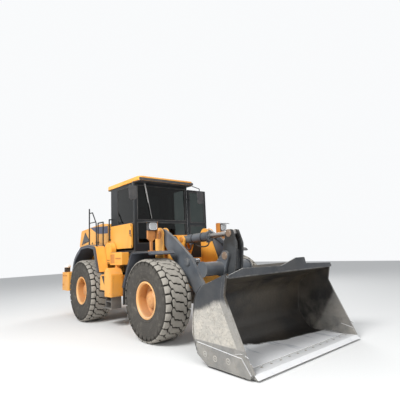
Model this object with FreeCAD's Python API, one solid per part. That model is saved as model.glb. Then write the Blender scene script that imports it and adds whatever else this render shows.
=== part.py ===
import FreeCAD, Part
import math
import os

os.makedirs("parts", exist_ok=True)

V = FreeCAD.Vector

# Articulated wheel loader, millimetres. X runs to the machine's left, Y to its rear, Z up.
# The tables below are drawn with y = 0 on the articulation hinge; pt() scales them by the
# driving dimensions and moves them so that the whole machine is centred over the origin.

# driving dimensions
WHEELBASE = 3300.0
TRACK = 2170.0
TYRE_D = 1600.0
TYRE_W = 597.0
CLEAR = 5.0

# the sizes the tables were drawn at
KX = TRACK / 2170.0
KY = WHEELBASE / 3300.0
KZ = TYRE_D / 1600.0

# places on the long axis and heights that many parts share
LIP_Y = -4500.0
COUNTER_FRONT = 2840.0
COUNTER_DEPTH = 760.0
TAIL_Y = COUNTER_FRONT + COUNTER_DEPTH
SHIFT_Y = -(LIP_Y + TAIL_Y) / 2.0
FRONT_AXLE_Y = -1650.0
REAR_AXLE_Y = 1650.0
AXLE_Z = 800.0
HALF_TRACK = 1085.0
STUB_R = 110.0
STUB_END = HALF_TRACK + 55
SLIP = 0.5

# linkage pins, y and z
BOOM_PIN = (-1290.0, 2100.0)
BUCKET_PIN = (-3120.0, 420.0)
CRANK_PIN = (-2718.0, 1595.0)
CRANK_TOP = (-2803.0, 2036.0)
CRANK_LOW = (-2540.0, 725.0)
BUCKET_LUG = (-3150.0, 700.0)
TILT_BASE = (-1300.0, 1985.0)
LIFT_BASE = (-1150.0, 850.0)
LIFT_EYE = (-2200.0, 1500.0)
CROSS_TUBE = (-2560.0, 1355.0)

# linkage, half widths along x
ARM_IN = 630.0
ARM_OUT = 690.0
TOWER_IN = 570.0
TOWER_PLATE = 30.0
LIFT_X = 470.0
LIFT_R = 75.0
LIFT_ROD_R = 45.0
TILT_R = 100.0
TILT_ROD_R = 50.0
TILT_PIN_R = 42.0
LIFT_PIN_R = 48.0
CRANK_GAP = 65.0
CRANK_OUT = 105.0
BAR_HALF = 55.0

# steering cylinders, plan places of their two ends and their height
STEER_BASE = (560.0, 800.0)
STEER_EYE = (430.0, -250.0)
STEER_Z = 880.0

# rim and tyre
RIM_R = 335.0
FLANGE_R = 362.0
BEAD_HALF = 235.0
TYRE_SIDES = 32

# cab
CAB_HALF = 810.0
CAB_FRONT = -350.0
CAB_REAR = 930.0
FLOOR_Z = 1720.0
SILL_Z = 2450.0
CAB_INSIDE = 1590.0
POST = 70.0
ROOF_THICK = 100.0
HEAD_Z = FLOOR_Z + 80 + CAB_INSIDE
ROOF_Z = HEAD_Z + POST
ROOF_TOP = ROOF_Z + ROOF_THICK
PANE_HALF = CAB_HALF - POST
DOOR_WIDTH = 623.0
DOOR_HINGE = (CAB_HALF + 12, CAB_FRONT - 12)
DOOR_EDGE = DOOR_HINGE[0] + DOOR_WIDTH
DOOR_KNUCKLES = (FLOOR_Z + 280, HEAD_Z - 310)
DOOR_END = DOOR_HINGE[1] + DOOR_EDGE - DOOR_HINGE[0]

# hood and tail
HOOD_HALF = 775.0
HOOD_FRONT = 1200.0
HOOD_REAR = 3250.0
HOOD_LOW = 2000.0
HOOD_TOP = 2600.0
HOOD_HINGE = (HOOD_REAR + 12, HOOD_LOW - 13)
GRILLE_KNUCKLES = (1360.0, 1760.0)
WALL = 40.0
DECK_IN = CAB_HALF + 60
SIDE_REACH = 370.0
RAIL_LOW = 980.0
RAIL_TOP = 1220.0

# rear fender, y and z along its top, with corner radii
REAR_FENDER_TOP = ((700.0, 1300.0), (930.0, 1935.0, 120.0), (1350.0, 2000.0, 400.0), (1850.0, 1960.0, 250.0),
                   (2320.0, 1640.0, 200.0), (2530.0, 1180.0, 200.0), (2545.0, 820.0))

# headlamp centres
LAMP_X = 1030.0
LAMP_Z = 2265.0

# articulation hinge ears, z of each plate
UPPER_EARS = ((1360.0, 1410.0), (1520.0, 1570.0))
LOWER_EARS = ((550.0, 600.0), (710.0, 760.0))
HINGE_R = 45.0


def pt(x, y, z):
    return V(x * KX, y * KY + SHIFT_Y * KY, z * KZ)


def box(x0, x1, y0, y1, z0, z1):
    low = pt(min(x0, x1), min(y0, y1), min(z0, z1))
    high = pt(max(x0, x1), max(y0, y1), max(z0, z1))
    return Part.makeBox(high.x - low.x, high.y - low.y, high.z - low.z, low)


def rounded_wire(points):
    # points are (vector, corner radius); corners with a radius become arcs
    edges = []
    count = len(points)
    starts = []
    for i in range(count):
        here, radius = points[i]
        before = points[i - 1][0]
        after = points[(i + 1) % count][0]
        if radius <= 0:
            starts.append((here, here, None))
            continue
        one = (before - here).normalize()
        two = (after - here).normalize()
        angle = one.getAngle(two)
        reach = radius / math.tan(angle / 2.0)
        middle = (one + two).normalize()
        centre = here + middle * (radius / math.sin(angle / 2.0))
        starts.append((here + one * reach, here + two * reach, centre - middle * radius))
    for i in range(count):
        first, last, mid = starts[i]
        if mid is not None:
            edges.append(Part.Arc(first, mid, last).toShape())
        following = starts[(i + 1) % count][0]
        if last.distanceToPoint(following) > 0.01:
            edges.append(Part.LineSegment(last, following).toShape())
    return Part.Wire(edges)


def prism(points, along):
    return Part.Face(rounded_wire(points)).extrude(along)


def corner(item):
    return item[2] * KZ if len(item) > 2 else 0.0


def prism_x(x0, x1, outline):
    low = min(x0, x1)
    points = [(pt(low, item[0], item[1]), corner(item)) for item in outline]
    return prism(points, V(abs(x1 - x0) * KX, 0, 0))


def prism_y(y0, y1, outline):
    low = min(y0, y1)
    points = [(pt(item[0], low, item[1]), corner(item)) for item in outline]
    return prism(points, V(0, abs(y1 - y0) * KY, 0))


def prism_z(z0, z1, outline):
    low = min(z0, z1)
    points = [(pt(item[0], item[1], low), corner(item)) for item in outline]
    return prism(points, V(0, 0, abs(z1 - z0) * KZ))


def rod(start, end, radius):
    a = pt(*start)
    b = pt(*end)
    return Part.makeCylinder(radius * KZ, (b - a).Length, a, b - a)


def disc(x0, x1, place, radius):
    return rod((min(x0, x1), place[0], place[1]), (max(x0, x1), place[0], place[1]), radius)


def post(x, y, z0, z1, radius):
    return rod((x, y, z0), (x, y, z1), radius)


def tube(points, radius):
    shapes = []
    for a, b in zip(points[:-1], points[1:]):
        shapes.append(rod(a, b, radius))
    for a in points[1:-1]:
        shapes.append(Part.makeSphere(radius * KZ, pt(*a)))
    return fuse(shapes)


def link_plate(x0, x1, a, ra, b, rb):
    # flat plate with round ends at two places of the y, z plane
    dy = b[0] - a[0]
    dz = b[1] - a[1]
    length = math.hypot(dy, dz)
    ny = -dz / length
    nz = dy / length
    outline = ((a[0] + ny * ra, a[1] + nz * ra), (b[0] + ny * rb, b[1] + nz * rb),
               (b[0] - ny * rb, b[1] - nz * rb), (a[0] - ny * ra, a[1] - nz * ra))
    return fuse([prism_x(x0, x1, outline), disc(x0, x1, a, ra), disc(x0, x1, b, rb)])


def fuse(shapes):
    result = shapes[0]
    if len(shapes) > 1:
        result = shapes[0].multiFuse(shapes[1:])
    return result.removeSplitter()


def cut(shape, tools):
    return shape.cut(tools) if tools else shape


def flip(shape):
    return shape.mirror(V(0, 0, 0), V(1, 0, 0))


def pair(shape):
    return [shape, flip(shape)]


def solids(shapes):
    found = []
    for shape in shapes:
        found.extend(shape.Solids)
    return Part.makeCompound(found)


def save(name, shapes):
    solids(shapes).exportStep("parts/" + name + ".step")


def along(start, end, distance):
    # place at a distance from start toward end, in the y, z plane
    dy = end[0] - start[0]
    dz = end[1] - start[1]
    length = math.hypot(dy, dz)
    return (start[0] + dy * distance / length, start[1] + dz * distance / length)


# rear frame and what is fixed to it

def rear_frame():
    shapes = []
    for side in (-1, 1):
        shapes.append(box(side * 360, side * 440, 260, 3300, RAIL_LOW, RAIL_TOP))
        shapes.append(prism_x(side * 260, side * 300, ((300, 600), (520, 600), (800, RAIL_LOW), (800, 1180), (300, 1180))))
        shapes.append(box(side * 440, side * HOOD_HALF, 1500, 1560, 1140, RAIL_TOP))
        shapes.append(box(side * 440, side * HOOD_HALF, 2770, 2830, 1140, RAIL_TOP))
        shapes.append(box(side * 440, side * 760, 940, 1000, 1140, RAIL_TOP))
        shapes.append(prism_x(side * 400, side * 440, ((300, 1220), (740, 1220), (740, FLOOR_Z - 60), (300, 1580))))
        shapes.append(box(side * 440, side * (CAB_HALF + 60), 560, 620, FLOOR_Z - 220, FLOOR_Z - 160))
        # ears for the steering cylinder's base
        x0 = side * 360
        x1 = side * (STEER_BASE[0] + 60)
        y0 = STEER_BASE[1] - 65
        y1 = STEER_BASE[1] + 70
        shapes.append(box(x0, x1, y0, y1, STEER_Z + 40, RAIL_LOW))
        shapes.append(box(x0, x1, y0, y1, STEER_Z - 80, STEER_Z - 40))
        shapes.append(box(x0, x1, y1, y1 + 25, STEER_Z - 80, RAIL_LOW))
        shapes.append(post(side * STEER_BASE[0], STEER_BASE[1], STEER_Z - 60, RAIL_LOW, 25))
    shapes.append(box(-440, 440, 260, 300, RAIL_LOW, 1580))
    shapes.append(box(-300, 300, 260, 300, 540, RAIL_LOW))
    for low, high in UPPER_EARS + LOWER_EARS:
        shapes.append(prism_z(low, high, ((-260, 300), (-150, -130, 140), (150, -130, 140), (260, 300))))
    shapes.append(box(-440, 440, 700, 740, 1140, FLOOR_Z - 100))
    shapes.append(box(-360, 360, 760, 800, RAIL_LOW, 1180))
    for y in (REAR_AXLE_Y - 330, REAR_AXLE_Y + 330):
        shapes.append(box(-440, 440, y - 40, y + 40, RAIL_LOW, RAIL_LOW + 120))
    shapes.append(box(-440, 440, 2770, 2830, RAIL_LOW, RAIL_TOP))
    body = fuse(shapes)
    return cut(body, [post(0, 0, 500, 1650, HINGE_R), rod((0, 240, 860), (0, 320, 860), 80)])


def hinge_pins():
    pins = []
    for ears in (UPPER_EARS, LOWER_EARS):
        low = ears[0][0]
        high = ears[1][1]
        pins.append(fuse([post(0, 0, low, high, HINGE_R), post(0, 0, high, high + 20, 75)]))
    return pins


def counterweight():
    half = 1280
    outline = ((-half, COUNTER_FRONT, 40), (-half, TAIL_Y - 260, 60), (-1060, TAIL_Y - 100, 60), (-640, TAIL_Y, 60),
               (640, TAIL_Y, 60), (1060, TAIL_Y - 100, 60), (half, TAIL_Y - 260, 60), (half, COUNTER_FRONT, 40))
    body = prism_z(720, RAIL_TOP + 30, outline)
    tools = [box(-440, 440, COUNTER_FRONT - 140, TAIL_Y - 300, 600, RAIL_TOP + 60)]
    tools.append(box(-HOOD_HALF - 5, HOOD_HALF + 5, COUNTER_FRONT - 140, HOOD_REAR, RAIL_TOP, RAIL_TOP + 60))
    tools.append(box(-120, 120, TAIL_Y - 120, TAIL_Y + 100, 880, 980))
    tools.append(post(0, TAIL_Y - 55, 700, 1280, 30))
    for side in (-1, 1):
        tools.append(disc(side * (half - 100), side * (half + 20), (TAIL_Y - 350, 870), 40))
    return cut(body, tools)


def engine():
    rest = RAIL_LOW + 120
    block = box(-340, 340, 1780, 2720, rest, 1780)
    gears = box(-300, 300, 840, 1240, 760, 1500)
    bell = rod((0, 1240, 1350), (0, 1780, 1350), 230)
    feet = []
    for side in (-1, 1):
        feet.append(box(side * 340, side * 360, 1850, 2600, rest, 1200))
        feet.append(box(side * 300, side * 360, 860, 1160, 1000, 1200))
    return fuse([block, gears, bell] + feet)


def cooler():
    return box(-HOOD_HALF + WALL, HOOD_HALF - WALL, 2980, 3150, RAIL_TOP, 1960)


def fuel_tank():
    outline = ((450, 900), (765, 900), (765, 1395), (450, 1395))
    tank = prism_z(740, 1135, [(x, y, 40) for x, y in outline])
    straps = [box(440, 450, y, y + 60, 1000, 1120) for y in (960, 1260)]
    return fuse([tank] + straps)


def side_box():
    # battery box outside the hinge, rounded off at the top, with a lower locker behind it
    outer = DECK_IN + SIDE_REACH
    outline = ((50, 720, 20), (50, 1250, 40), (170, 1395, 60), (330, 1395, 60), (420, 1290, 30), (420, 720, 20))
    high_box = prism_x(outer - 300, outer, outline)
    locker = prism_x(outer - 200, outer - 15, ((400, 860), (400, 1235), (640, 1235, 30), (700, 1180, 20), (700, 860, 20)))
    arm = box(440, outer - 300, 330, 400, 1000, 1200)
    return fuse([high_box, locker, arm])


def platform():
    # deck beside the cab on the box below it, with the round-topped cover behind
    inner = DECK_IN
    deck = prism_x(inner, inner + 180, ((-130, 1460, 30), (-130, 1765, 30), (520, 1765, 30), (520, 1460, 30)))
    foot = box(inner + 75, inner + 140, 190, 310, 1395, 1460)
    cover = prism_x(inner, inner + 130, ((530, 1500), (530, 2030, 190), (930, 2030, 190), (930, 1500)))
    tie = box(inner, inner + 130, 520, 530, 1500, 1640)
    return fuse([deck, foot, cover, tie])


def engine_cover():
    # fixed yellow sides, front wall and rear frame under the hood
    top = HOOD_LOW - CLEAR
    side = box(HOOD_HALF - WALL, HOOD_HALF, HOOD_FRONT, HOOD_REAR - 20, RAIL_TOP, top)
    slots = []
    for k in range(6):
        slots.append(box(700, 1000, 2560, 2960, 1400 + k * 80, 1440 + k * 80))
    side = cut(side, slots)
    front = box(-HOOD_HALF, HOOD_HALF, HOOD_FRONT, HOOD_FRONT + WALL, RAIL_TOP, top)
    passage = box(-300, 300, HOOD_FRONT - 10, HOOD_FRONT + WALL + 10, RAIL_TOP - 10, 1620)
    bar = box(-HOOD_HALF, HOOD_HALF, HOOD_REAR - 60, HOOD_REAR - 20, top - 50, top)
    return fuse([side, flip(side), cut(front, [passage]), bar] + hood_knuckles() + grille_hinge())


def hood():
    back = HOOD_REAR - 130
    outline = ((HOOD_FRONT, HOOD_LOW), (HOOD_FRONT, 2560, 60), (1600, HOOD_TOP, 400),
               (back, 2490, 80), (HOOD_REAR, 2060), (HOOD_REAR, HOOD_LOW))
    inner = ((HOOD_FRONT + WALL, HOOD_LOW - 50), (HOOD_FRONT + WALL, 2520, 40), (1600, HOOD_TOP - WALL, 400),
             (back - 35, 2450, 60), (HOOD_REAR - WALL, 2050), (HOOD_REAR - WALL, HOOD_LOW - 50))
    body = prism_x(-HOOD_HALF, HOOD_HALF, outline)
    body = cut(body, [prism_x(-HOOD_HALF + WALL, HOOD_HALF - WALL, inner)])
    vent = ((2600, 2120), (3040, 2060), (2800, 2380))
    y, z = HOOD_HINGE
    knuckles = []
    for x in (500.5, -550.5):
        knuckles.append(fuse([disc(x, x + 50, HOOD_HINGE, 12), box(x, x + 50, HOOD_REAR - 10, y, z, HOOD_LOW + 40)]))
    bars = []
    for k in range(3):
        z = 2110 + k * 85
        bars.append(box(HOOD_HALF - WALL, HOOD_HALF, 2500, 3100, z, z + 30))
    hole = prism_x(HOOD_HALF - WALL - 10, HOOD_HALF + 10, vent)
    for bar in bars:
        hole = hole.cut(bar)
    return fuse([cut(body, [hole, flip(hole)])] + knuckles)


def hood_knuckles():
    y, z = HOOD_HINGE
    shapes = []
    for side in (-1, 1):
        arm = box(side * 450, side * 500, HOOD_REAR - 60, y, z - 10, z + 8)
        shapes.append(fuse([disc(side * 450, side * 500, HOOD_HINGE, 12), arm]))
    return shapes


def rear_grille():
    y0 = HOOD_REAR - 15
    y1 = HOOD_REAR + 20
    half = HOOD_HALF - 15
    leaf = box(-half, half, y0, y1, RAIL_TOP + 40, HOOD_LOW - 30)
    slots = []
    for k in range(7):
        z = 1330 + k * 85
        slots.append(box(-half + 120, -20, y0 - 5, y1 + 5, z, z + 45))
        slots.append(box(20, half - 120, y0 - 5, y1 + 5, z, z + 45))
    hinge = []
    for z in GRILLE_KNUCKLES:
        hinge.append(post(HOOD_HALF + 20, HOOD_REAR + 2, z + 38.5, z + 150, 17))
        hinge.append(box(half - 5, HOOD_HALF + 20, HOOD_REAR - 10, HOOD_REAR + 14, z + 38.5, z + 150))
    return fuse([cut(leaf, slots)] + hinge)


def grille_hinge():
    shapes = []
    for z in GRILLE_KNUCKLES:
        x = HOOD_HALF + 20
        arm = box(HOOD_HALF, x + 10, HOOD_REAR - 60, HOOD_REAR + 2, z, z + 38)
        shapes.append(fuse([post(x, HOOD_REAR + 2, z, z + 38, 17), arm]))
    return shapes


def axle(y):
    tube_part = rod((-745, y, AXLE_Z), (745, y, AXLE_Z), 125)
    bulge = rod((0, y - 230, AXLE_Z), (0, y + 230, AXLE_Z), 240)
    cone = rod((0, y - 330, AXLE_Z), (0, y + 330, AXLE_Z), 120)
    ends = []
    for side in (-1, 1):
        ends.append(rod((side * 690, y, AXLE_Z), (side * 770, y, AXLE_Z), 240))
        ends.append(rod((side * 740, y, AXLE_Z), (side * STUB_END, y, AXLE_Z), STUB_R))
    return fuse([tube_part, bulge, cone] + ends)


def rear_axle_full():
    y = REAR_AXLE_Y
    shapes = [axle(y)]
    for s in (-1, 1):
        shapes.append(box(-120, 120, y + s * 290, y + s * 370, AXLE_Z, RAIL_LOW))
    return fuse(shapes)


def front_axle_full():
    y = FRONT_AXLE_Y
    shapes = [axle(y)]
    for s in (-1, 1):
        shapes.append(box(s * 330, s * 600, y - 140, y + 140, AXLE_Z, RAIL_LOW))
    return fuse(shapes)


def rear_shaft():
    y_axle = REAR_AXLE_Y - 330
    shaft = rod((0, 100, 860), (0, 840, 860), 50)
    yoke = fuse([box(-60, 60, 70, 110, 790, 930), box(-60, -30, -30, 110, 810, 910), box(30, 60, -30, 110, 810, 910)])
    tail = rod((0, 1240, AXLE_Z), (0, y_axle, AXLE_Z), 60).cut(rear_axle_full())
    return [fuse([shaft, yoke]), tail]


def front_shaft():
    y_axle = FRONT_AXLE_Y + 330
    shaft = rod((0, y_axle + 10, AXLE_Z), (0, -150, 860), 50)
    joint = rod((0, y_axle, AXLE_Z), (0, y_axle + 60, AXLE_Z), 70)
    return fuse([shaft, joint])


# cab

def cab_frame():
    shapes = []
    shapes.append(box(-CAB_HALF, CAB_HALF, CAB_FRONT, CAB_REAR, FLOOR_Z, FLOOR_Z + 80))
    shapes.append(box(-CAB_HALF, CAB_HALF, CAB_FRONT, CAB_FRONT + POST, HEAD_Z, ROOF_Z))
    shapes.append(box(-CAB_HALF, CAB_HALF, CAB_REAR - POST, CAB_REAR, HEAD_Z, ROOF_Z))
    for side in (-1, 1):
        edge = side * CAB_HALF
        inner = side * (CAB_HALF - POST)
        shapes.append(box(edge, inner, CAB_FRONT, CAB_FRONT + POST, FLOOR_Z, ROOF_Z))
        shapes.append(box(edge, inner, CAB_REAR - POST, CAB_REAR, FLOOR_Z, ROOF_Z))
        shapes.append(box(edge, inner, CAB_FRONT, CAB_REAR, HEAD_Z, ROOF_Z))
        shapes.append(box(edge, side * (CAB_HALF - 50), 560, CAB_REAR, SILL_Z, ROOF_Z))
    shapes.append(box(-CAB_HALF, -CAB_HALF + 50, CAB_FRONT, 600, SILL_Z - POST, SILL_Z))
    shapes.append(box(CAB_HALF - 50, CAB_HALF, DOOR_END - 20, DOOR_END + 60, FLOOR_Z, ROOF_Z))
    shapes.append(box(CAB_HALF - 50, CAB_HALF, DOOR_END, 600, SILL_Z - POST, SILL_Z))
    shapes.append(box(-CAB_HALF, CAB_HALF, CAB_FRONT, CAB_FRONT + 40, 2470, 2520))
    shapes.append(box(-CAB_HALF, CAB_HALF, CAB_FRONT, CAB_FRONT + 30, FLOOR_Z, 1950))
    shapes.append(box(-CAB_HALF, CAB_HALF, CAB_REAR - 40, CAB_REAR, FLOOR_Z, SILL_Z))
    for x in (-600, 600):
        for y in (-150, 700):
            shapes.append(box(x - 100, x + 100, y - 60, y + 40, FLOOR_Z - 60, FLOOR_Z))
    rebate = box(CAB_HALF - 13, CAB_HALF + 5, CAB_FRONT - 5, DOOR_END + 8, FLOOR_Z + 80, HEAD_Z - 2)
    return fuse([cut(fuse(shapes), [rebate])] + door_knuckles())


def cab_base():
    # carrier under the cab floor, standing on the rear frame's uprights
    shapes = [box(-640, 640, 640, 740, FLOOR_Z - 100, FLOOR_Z - 60)]
    shapes.append(box(-640, 640, -210, -110, FLOOR_Z - 100, FLOOR_Z - 60))
    for side in (-1, 1):
        shapes.append(box(side * 500, side * 640, -210, 740, FLOOR_Z - 100, FLOOR_Z - 60))
        shapes.append(box(side * 440, side * 640, 300, 740, FLOOR_Z - 160, FLOOR_Z - 100))
    return fuse(shapes)


def cab_glass():
    panes = [box(-PANE_HALF, PANE_HALF, CAB_FRONT + 8, CAB_FRONT + 20, 2520, HEAD_Z)]
    panes.append(box(-PANE_HALF, PANE_HALF, CAB_FRONT + 8, CAB_FRONT + 20, 1950, 2470))
    panes.append(box(-CAB_HALF + 10, -CAB_HALF + 22, CAB_FRONT + POST, 560, SILL_Z, HEAD_Z))
    panes.append(box(CAB_HALF - 22, CAB_HALF - 10, DOOR_END + 60, 560, SILL_Z, HEAD_Z))
    panes.append(box(-PANE_HALF, PANE_HALF, CAB_REAR - 30, CAB_REAR - 18, SILL_Z, HEAD_Z))
    return panes


def cab_side_panel():
    right = prism_x(-CAB_HALF - 40, -CAB_HALF, ((-240, 1850, 40), (-240, SILL_Z, 60), (920, SILL_Z, 60), (920, 1850, 40)))
    left = prism_x(CAB_HALF, CAB_HALF + 40, ((DOOR_END + 30, 1850, 30), (DOOR_END + 30, SILL_Z, 60),
                                             (920, SILL_Z, 60), (920, 1850, 30)))
    return [right, left]


def cab_roof():
    half = CAB_HALF + 20
    plan = ((-half, -620, 90), (half, -620, 90), (half, 1100, 60), (-half, 1100, 60))
    slab = prism_z(ROOF_Z, ROOF_TOP, plan)
    return slab


def cab_door():
    # stands open at a right angle, as pictured; hinged at the left front post
    x0 = DOOR_HINGE[0] - 18
    y0 = DOOR_HINGE[1] - 18
    y1 = DOOR_HINGE[1] + 18
    leaf = box(x0, DOOR_EDGE, y0, y1, FLOOR_Z + 90, HEAD_Z - 10)
    openings = [(2480, HEAD_Z - 70), (1960, 2400)]
    holes = []
    glass = []
    for low, high in openings:
        holes.append(box(x0 + 60, DOOR_EDGE - 60, y0 - 5, y1 + 5, low, high))
        glass.append(box(x0 + 60, DOOR_EDGE - 60, y0 + 12, y0 + 22, low, high))
    for z in DOOR_KNUCKLES:
        x, y = DOOR_HINGE
        holes.append(box(x - 25, x + 25, y0 - 5, y1 + 5, z - 2, z + 50.5))
        holes.append(post(x, y, z, z + 92, 8.3))
    return cut(leaf, holes), glass


def door_knuckles():
    x, y = DOOR_HINGE
    shapes = []
    for z in DOOR_KNUCKLES:
        shapes.append(fuse([post(x, y, z, z + 50, 12), post(x, y, z + 50, z + 90, 8),
                            box(x - 50, x, y - 12, CAB_FRONT, z, z + 50)]))
    return shapes


def seat():
    base = box(-200, 200, 300, 640, FLOOR_Z + 80, 2220)
    cushion = prism_x(-260, 260, ((160, 2200, 30), (160, 2330, 50), (700, 2300, 30), (700, 2200, 30)))
    back = prism_x(-250, 250, ((620, 2280, 30), (720, 2900, 25), (800, 2900, 25), (740, 2280, 30)))
    head = prism_x(-140, 140, ((735, 2880), (750, 3050, 20), (810, 3050, 20), (795, 2880)))
    arms = [box(s * 270, s * 340, 260, 700, 2450, 2510) for s in (-1, 1)]
    stems = [box(s * 240, s * 275, 640, 700, 2380, 2510) for s in (-1, 1)]
    return fuse([base, cushion, back, head] + arms + stems)


def steering_column():
    column = prism_x(-70, 70, ((-250, FLOOR_Z + 80), (-90, FLOOR_Z + 80), (-60, 2250), (-130, 2280)))
    centre = pt(0, -40, 2400)
    tilt = V(0, 0.5, 0.87)
    ring = Part.makeTorus(190 * KZ, 16 * KZ, centre, tilt)
    hub = Part.makeCylinder(45 * KZ, 30 * KZ, centre - tilt * 15 * KZ, tilt)
    shaft = Part.makeCylinder(30 * KZ, 200 * KZ, centre - tilt * 200 * KZ, tilt)
    spokes = []
    for angle in (90, 210, 330):
        a = math.radians(angle)
        arm = V(math.cos(a), 0.87 * math.sin(a), -0.5 * math.sin(a))
        spokes.append(Part.makeCylinder(12 * KZ, 190 * KZ, centre, arm))
    return fuse([column, shaft, hub, ring] + spokes)


def fender(x0, x1, top, thick):
    # top is the upper line from front to rear; the underside follows it
    count = len(top)
    below = []
    for i in range(count):
        before = top[max(i - 1, 0)]
        after = top[min(i + 1, count - 1)]
        one = unit(top[i], before) if i > 0 else None
        two = unit(after, top[i]) if i < count - 1 else None
        one = one or two
        two = two or one
        ny = one[1] + two[1]
        nz = -one[0] - two[0]
        size = (ny * one[1] - nz * one[0])
        below.append((top[i][0] - ny * thick / size * -1, top[i][1] + nz * thick / size) + tuple(
            max(r - thick, 1.0) for r in top[i][2:]))
    return prism_x(x0, x1, list(top) + list(reversed(below)))


def unit(a, b):
    dy = a[0] - b[0]
    dz = a[1] - b[1]
    length = math.hypot(dy, dz)
    return (dy / length, dz / length)


def rear_fender():
    top = REAR_FENDER_TOP
    skin = fender(HOOD_HALF, 1290, top, 30)
    lip = fender(1250, 1290, top, 70)
    keep_out = box(HOOD_HALF - 10, DECK_IN + 135, 500, CAB_REAR + 15, 1000, 2100)
    return cut(fuse([skin, lip]), [keep_out])


def front_fenders():
    top = ((-1930, 1690), (-1880, 1745, 40), (-1190, 1745, 120), (-790, 1010))
    skin = fender(800, 1390, top, 28)
    stays = []
    for y in (-1500, -1350):
        stays.append(box(745, 840, y, y + 50, 1690, 1722))
    return fuse([skin] + stays)


def headlamp():
    # bracket, guard hood and lamp body above one front fender
    stem = prism_y(-1440, -1380, ((990, 1745), (1070, 1745), (1070, 1980), (1120, 2010), (1120, 2180), (940, 2180),
                                  (940, 2010), (990, 1980)))
    visor = box(920, 1200, -1530, -1350, 2362, 2385)
    back = box(915, 1120, -1400, -1350, 2140, 2362)
    wing = box(905, 925, -1500, -1350, 2000, 2375)
    body = rod((LAMP_X, -1488, LAMP_Z), (LAMP_X, -1400, LAMP_Z), 80)
    return fuse([stem, visor, back, wing, body])


def lamp_lens():
    return rod((LAMP_X, -1500, LAMP_Z), (LAMP_X, -1488, LAMP_Z), 74)


def tail_lamp():
    back = TAIL_Y - 270
    shape = box(1060, 1230, back - 70, back, RAIL_TOP + 30, RAIL_TOP + 170)
    lens = rod((1145, back, RAIL_TOP + 100), (1145, back + 15, RAIL_TOP + 100), 60)
    return fuse([shape, lens])


def fender_height(y):
    for a, b in zip(REAR_FENDER_TOP[:-1], REAR_FENDER_TOP[1:]):
        if a[0] <= y <= b[0]:
            return a[1] + (b[1] - a[1]) * (y - a[0]) / (b[0] - a[0]) - 20
    return AXLE_Z


def handrails(fender_left):
    r = 17
    x = 1190
    y1 = 1480
    rails = []
    outer = [tube([(x, y1, fender_height(y1)), (x, y1, 2990)], r)]
    outer.append(tube([(x, y1, 2860), (x, 1270, 2860), (x, 1030, 2560), (x, 1000, fender_height(1000))], r - 2))
    outer.append(rod((x, y1, 2590), (x, 1054, 2590), r - 4))
    rails.append(fuse(outer))
    z = fender_height(1150)
    rails.append(tube([(940, 1150, z), (940, 1150, 2600), (940, y1, 2600), (940, y1, fender_height(y1))], r))
    rails = [rail.cut(fender_left) for rail in rails]
    x = CAB_HALF + 80
    rails.append(tube([(CAB_HALF + WALL, 880, 2100), (x, 880, 2100), (x, 880, 2640), (CAB_HALF, 880, 2640)], r))
    return rails + [flip(rail) for rail in rails]


def exhaust_stack():
    y = HOOD_FRONT - 115
    shelf = box(200, 400, y - 80, HOOD_FRONT, 1880, 1900)
    return fuse([shelf, post(300, y, 1900, 2990, 55), post(300, y, 2300, 2750, 90)])


def steps():
    outer = DECK_IN + SIDE_REACH - 20
    inner = outer - 260
    frame = [box(inner, outer, 90, 115, 440, 720), box(inner, outer, 375, 400, 440, 720)]
    tread = [box(inner, outer, 90, 660, 440, 470), box(inner, outer, 90, 400, 600, 625)]
    return fuse(frame + tread)


# front frame and what it carries

def front_frame():
    shapes = []
    body = ((-2050, 980), (-2050, 1250), (-1500, 1350), (-300, 1350), (-220, 1500), (-220, 610), (-1360, 610),
            (-1480, RAIL_LOW))
    for side in (-1, 1):
        shapes.append(prism_x(side * 330, side * 360, body))
        shapes.append(prism_x(side * TOWER_IN, side * (TOWER_IN + TOWER_PLATE), (
            (-2050, RAIL_LOW), (-2050, 1250), (-1720, 1500, 200), (-1450, 2130, 60), (-1150, 2200, 60),
            (-1120, 1500, 300), (-950, 1150), (-950, 650), (-1300, 650), (-1450, RAIL_LOW))))
        shapes.append(disc(side * TOWER_IN, side * (TOWER_IN + TOWER_PLATE), BOOM_PIN, 150))
        shapes.append(prism_x(side * 715, side * 745, ((-1430, 2150, 30), (-1430, 1480), (-1130, 1480), (-1130, 2180, 30))))
        shapes.append(disc(side * 715, side * 745, BOOM_PIN, 150))
        shapes.append(box(side * TOWER_IN, side * 745, -1155, -1130, 1480, 2150))
        shapes.append(box(side * TOWER_IN, side * 745, -1430, -1130, 1480, 1510))
        shapes.append(box(side * 360, side * TOWER_IN, -2050, -2020, RAIL_LOW, 1240))
        shapes.append(box(side * 360, side * TOWER_IN, -980, -950, 650, 1150))
        shapes.append(prism_x(side * 110, side * 145, ((-1150, 1600), (-1150, 2080, 40), (-1330, 2090, 80),
                                                       (-1410, 1990, 60), (-1400, 1880, 60), (-1250, 1600))))
        shapes.append(box(side * 360, side * (STEER_EYE[0] + 50), STEER_EYE[1] - 60, STEER_EYE[1] + 60,
                          STEER_Z + 40, STEER_Z + 65))
        shapes.append(box(side * 360, side * (STEER_EYE[0] + 50), STEER_EYE[1] - 60, STEER_EYE[1] + 60,
                          STEER_Z - 65, STEER_Z - 40))
    shapes.append(box(-TOWER_IN, TOWER_IN, -1150, -1120, 1350, 2100))
    shapes.append(box(-360, 360, -2050, -2020, RAIL_LOW, 1250))
    shapes.append(box(-360, 360, -1150, -1120, 1200, 1400))
    shapes.append(box(-360, 360, -1500, -300, 1320, 1350))
    shapes.append(box(-360, 360, -250, -220, 610, 770))
    shapes.append(box(-360, 360, -250, -220, 980, 1500))
    for ears in (UPPER_EARS, LOWER_EARS):
        low = ears[0][1] + CLEAR
        high = ears[1][0] - CLEAR
        shapes.append(prism_z(low, high, ((-200, -240), (-130, 110, 120), (130, 110, 120), (200, -240))))
    body = fuse(shapes)
    return cut(body, [post(0, 0, 500, 1650, HINGE_R + 1)])


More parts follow.
